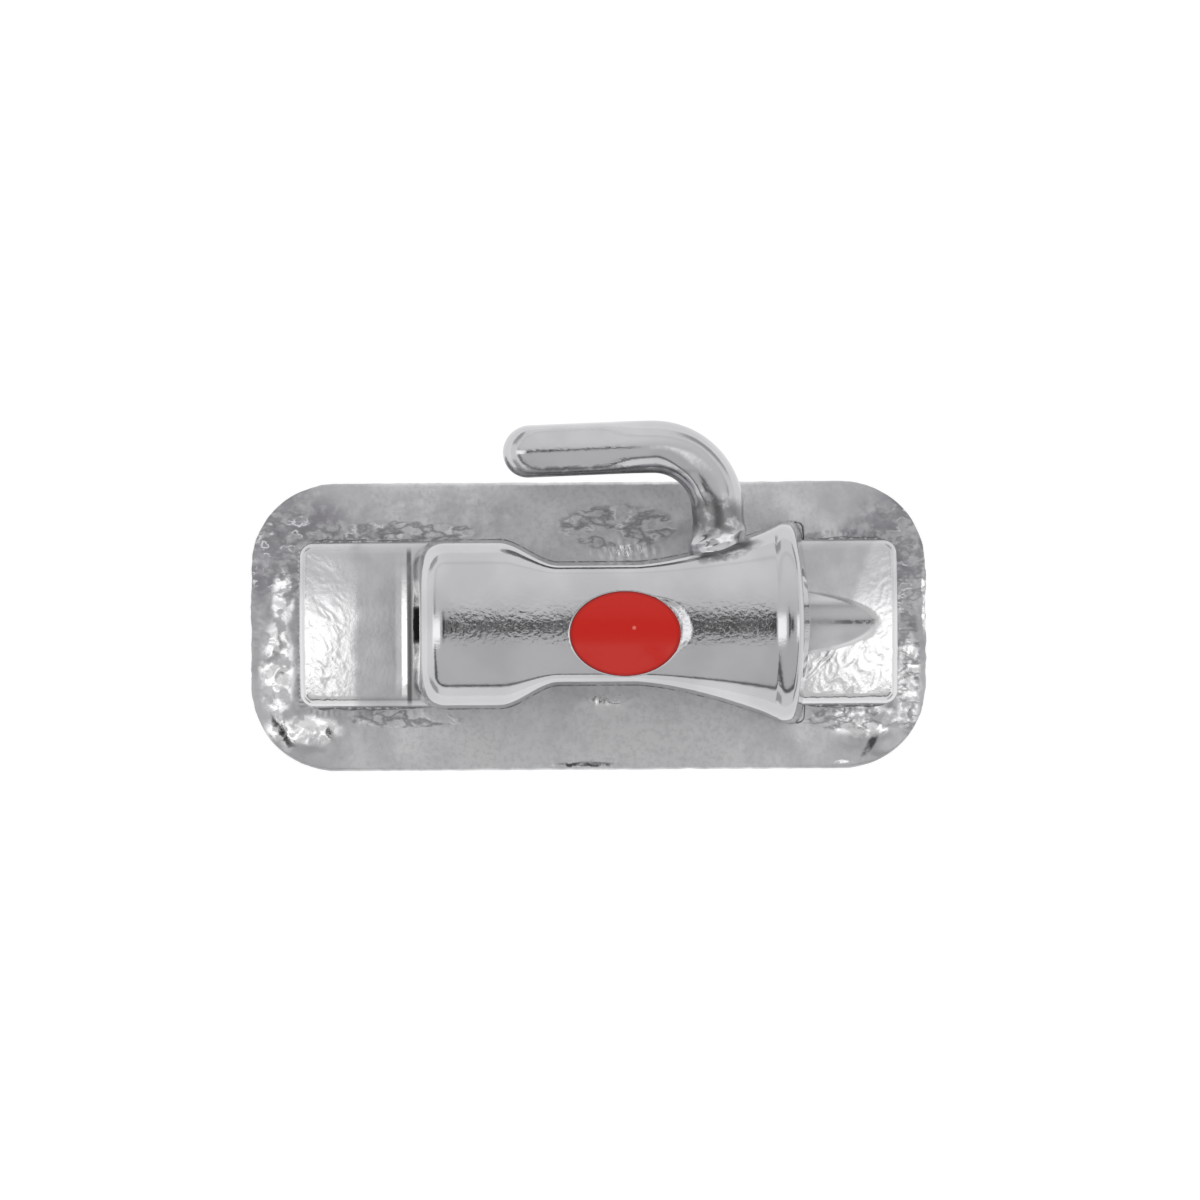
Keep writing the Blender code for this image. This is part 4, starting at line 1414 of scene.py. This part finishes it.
# %% The light tent
CEILING_DIM = 0.7
CEILING_BRIGHT = 0.96
WALL_LEVEL = 1.0
STRIP_LEVEL = 1.6
SEAM_Z = (0.58, 0.63, 0.68, 0.74)
LENS_SHADE = 0.97
SEAM_SHADE = 0.85
PANEL_SHADE = 0.5


def light_tent():
    """Draws the soft areas on the world's directions."""
    world = bpy.data.worlds.new("light_tent")
    world.use_nodes = True
    bpy.context.scene.world = world
    board = Board(world.node_tree)
    x, y, z = board.axes(board.node("ShaderNodeTexCoord", {}, {}, "Generated"))
    side = abs(x)
    lens_half = x.ramp(-0.07, -0.02, 0.18, 0.085) + x.ramp(0.02, 0.06, 0.0, 0.025)
    slit = x.ramp(-0.04, -0.02) * x.ramp(0.04, 0.015) * abs(y + 0.02).ramp(0.04, 0.012)
    lens = side.ramp(0.24, 0.12) * (abs(y + 0.02) / lens_half).ramp(1.0, 0.55) * (1 - 0.8 * slit)
    strip = side.ramp(0.31, 0.4) * side.ramp(0.9, 0.8) * y.ramp(0.12, 0.02) * y.ramp(-0.23, -0.13)
    seam = z.ramp(SEAM_Z[0], SEAM_Z[1]) * z.ramp(SEAM_Z[3], SEAM_Z[2]) * y.ramp(0.0, 0.3, 1.0, 0.12)
    walls = z.ramp(0.6, 0.55)
    panel = (side * abs(y)).ramp(0.34, 0.44) * z.ramp(0.45, 0.3)
    level = y.ramp(-0.2, 0.6, CEILING_DIM, CEILING_BRIGHT) * (1 - walls) + WALL_LEVEL * walls
    level = level * (1 - LENS_SHADE * lens) * (1 - SEAM_SHADE * seam) * (1 - PANEL_SHADE * panel)
    level = level * (1 - strip) + STRIP_LEVEL * strip
    dress(board, board.tree.nodes["Background"], {"Strength": level, "Color": (1, 1, 1, 1)})


light_tent()

# %% [markdown]
# The part lies on a lit white panel, on the two ends of its bent pad. A lit panel keeps the
# background white and leaves only a faint shadow.

# %% The table
TABLE_SIZE = 1.0
TABLE_GLOW = 0.8


def table():
    """A flat square under the lowest point of the part."""
    bm = bmesh.new()
    bmesh.ops.create_grid(bm, x_segments=8, y_segments=8, size=TABLE_SIZE / 2)
    bmesh.ops.translate(bm, verts=bm.verts[:], vec=(0, 0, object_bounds()[0].z))
    mesh = bpy.data.meshes.new("table")
    bm.to_mesh(mesh)
    bm.free()
    material, board, shader = finish("lit_panel", 0.0, {"Roughness": 0.7, "Emission Strength": TABLE_GLOW})
    grain = board.grain(board.place(), 4.0, 3.0)
    greys = board.mix((0.3, 0.3, 0.3, 1), (0.32, 0.32, 0.32, 1), grain)
    dress(board, shader, {"Base Color": greys, "Emission Color": (1, 1, 1, 1)})
    mesh.materials.append(material)
    return put_in_scene("table", mesh)


table()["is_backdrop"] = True

# %% [markdown]
# The photograph is taken from straight above with a long lens. The part is turned by a third of
# a degree in it, so the camera is rolled the other way. Its scale is 97 pixels to the millimetre
# in a picture of 1200.

# %% The camera
PICTURE_PIXELS = 1200
PIXELS_PER_MM = 97
AIM = (0.120, 0.267, 0.2)
ROLL = math.radians(-0.34)
LENS = 1000
SENSOR = 36


def camera():
    """Looks straight down, from so far that the picture has its scale."""
    data = bpy.data.cameras.new("camera")
    data.lens = LENS
    data.sensor_width = SENSOR
    distance = PICTURE_PIXELS / PIXELS_PER_MM * LENS / SENSOR
    data.clip_start = 0.01
    data.clip_end = 10
    seen = put_in_scene("camera", data)
    seen.location = [c * METRES_PER_MM for c in (AIM[0], AIM[1], AIM[2] + distance)]
    seen.rotation_euler = (0, 0, ROLL)
    bpy.context.scene.camera = seen
    print("camera distance:", round(distance, 1), "mm")


camera()
bpy.context.scene.view_settings.view_transform = "Standard"
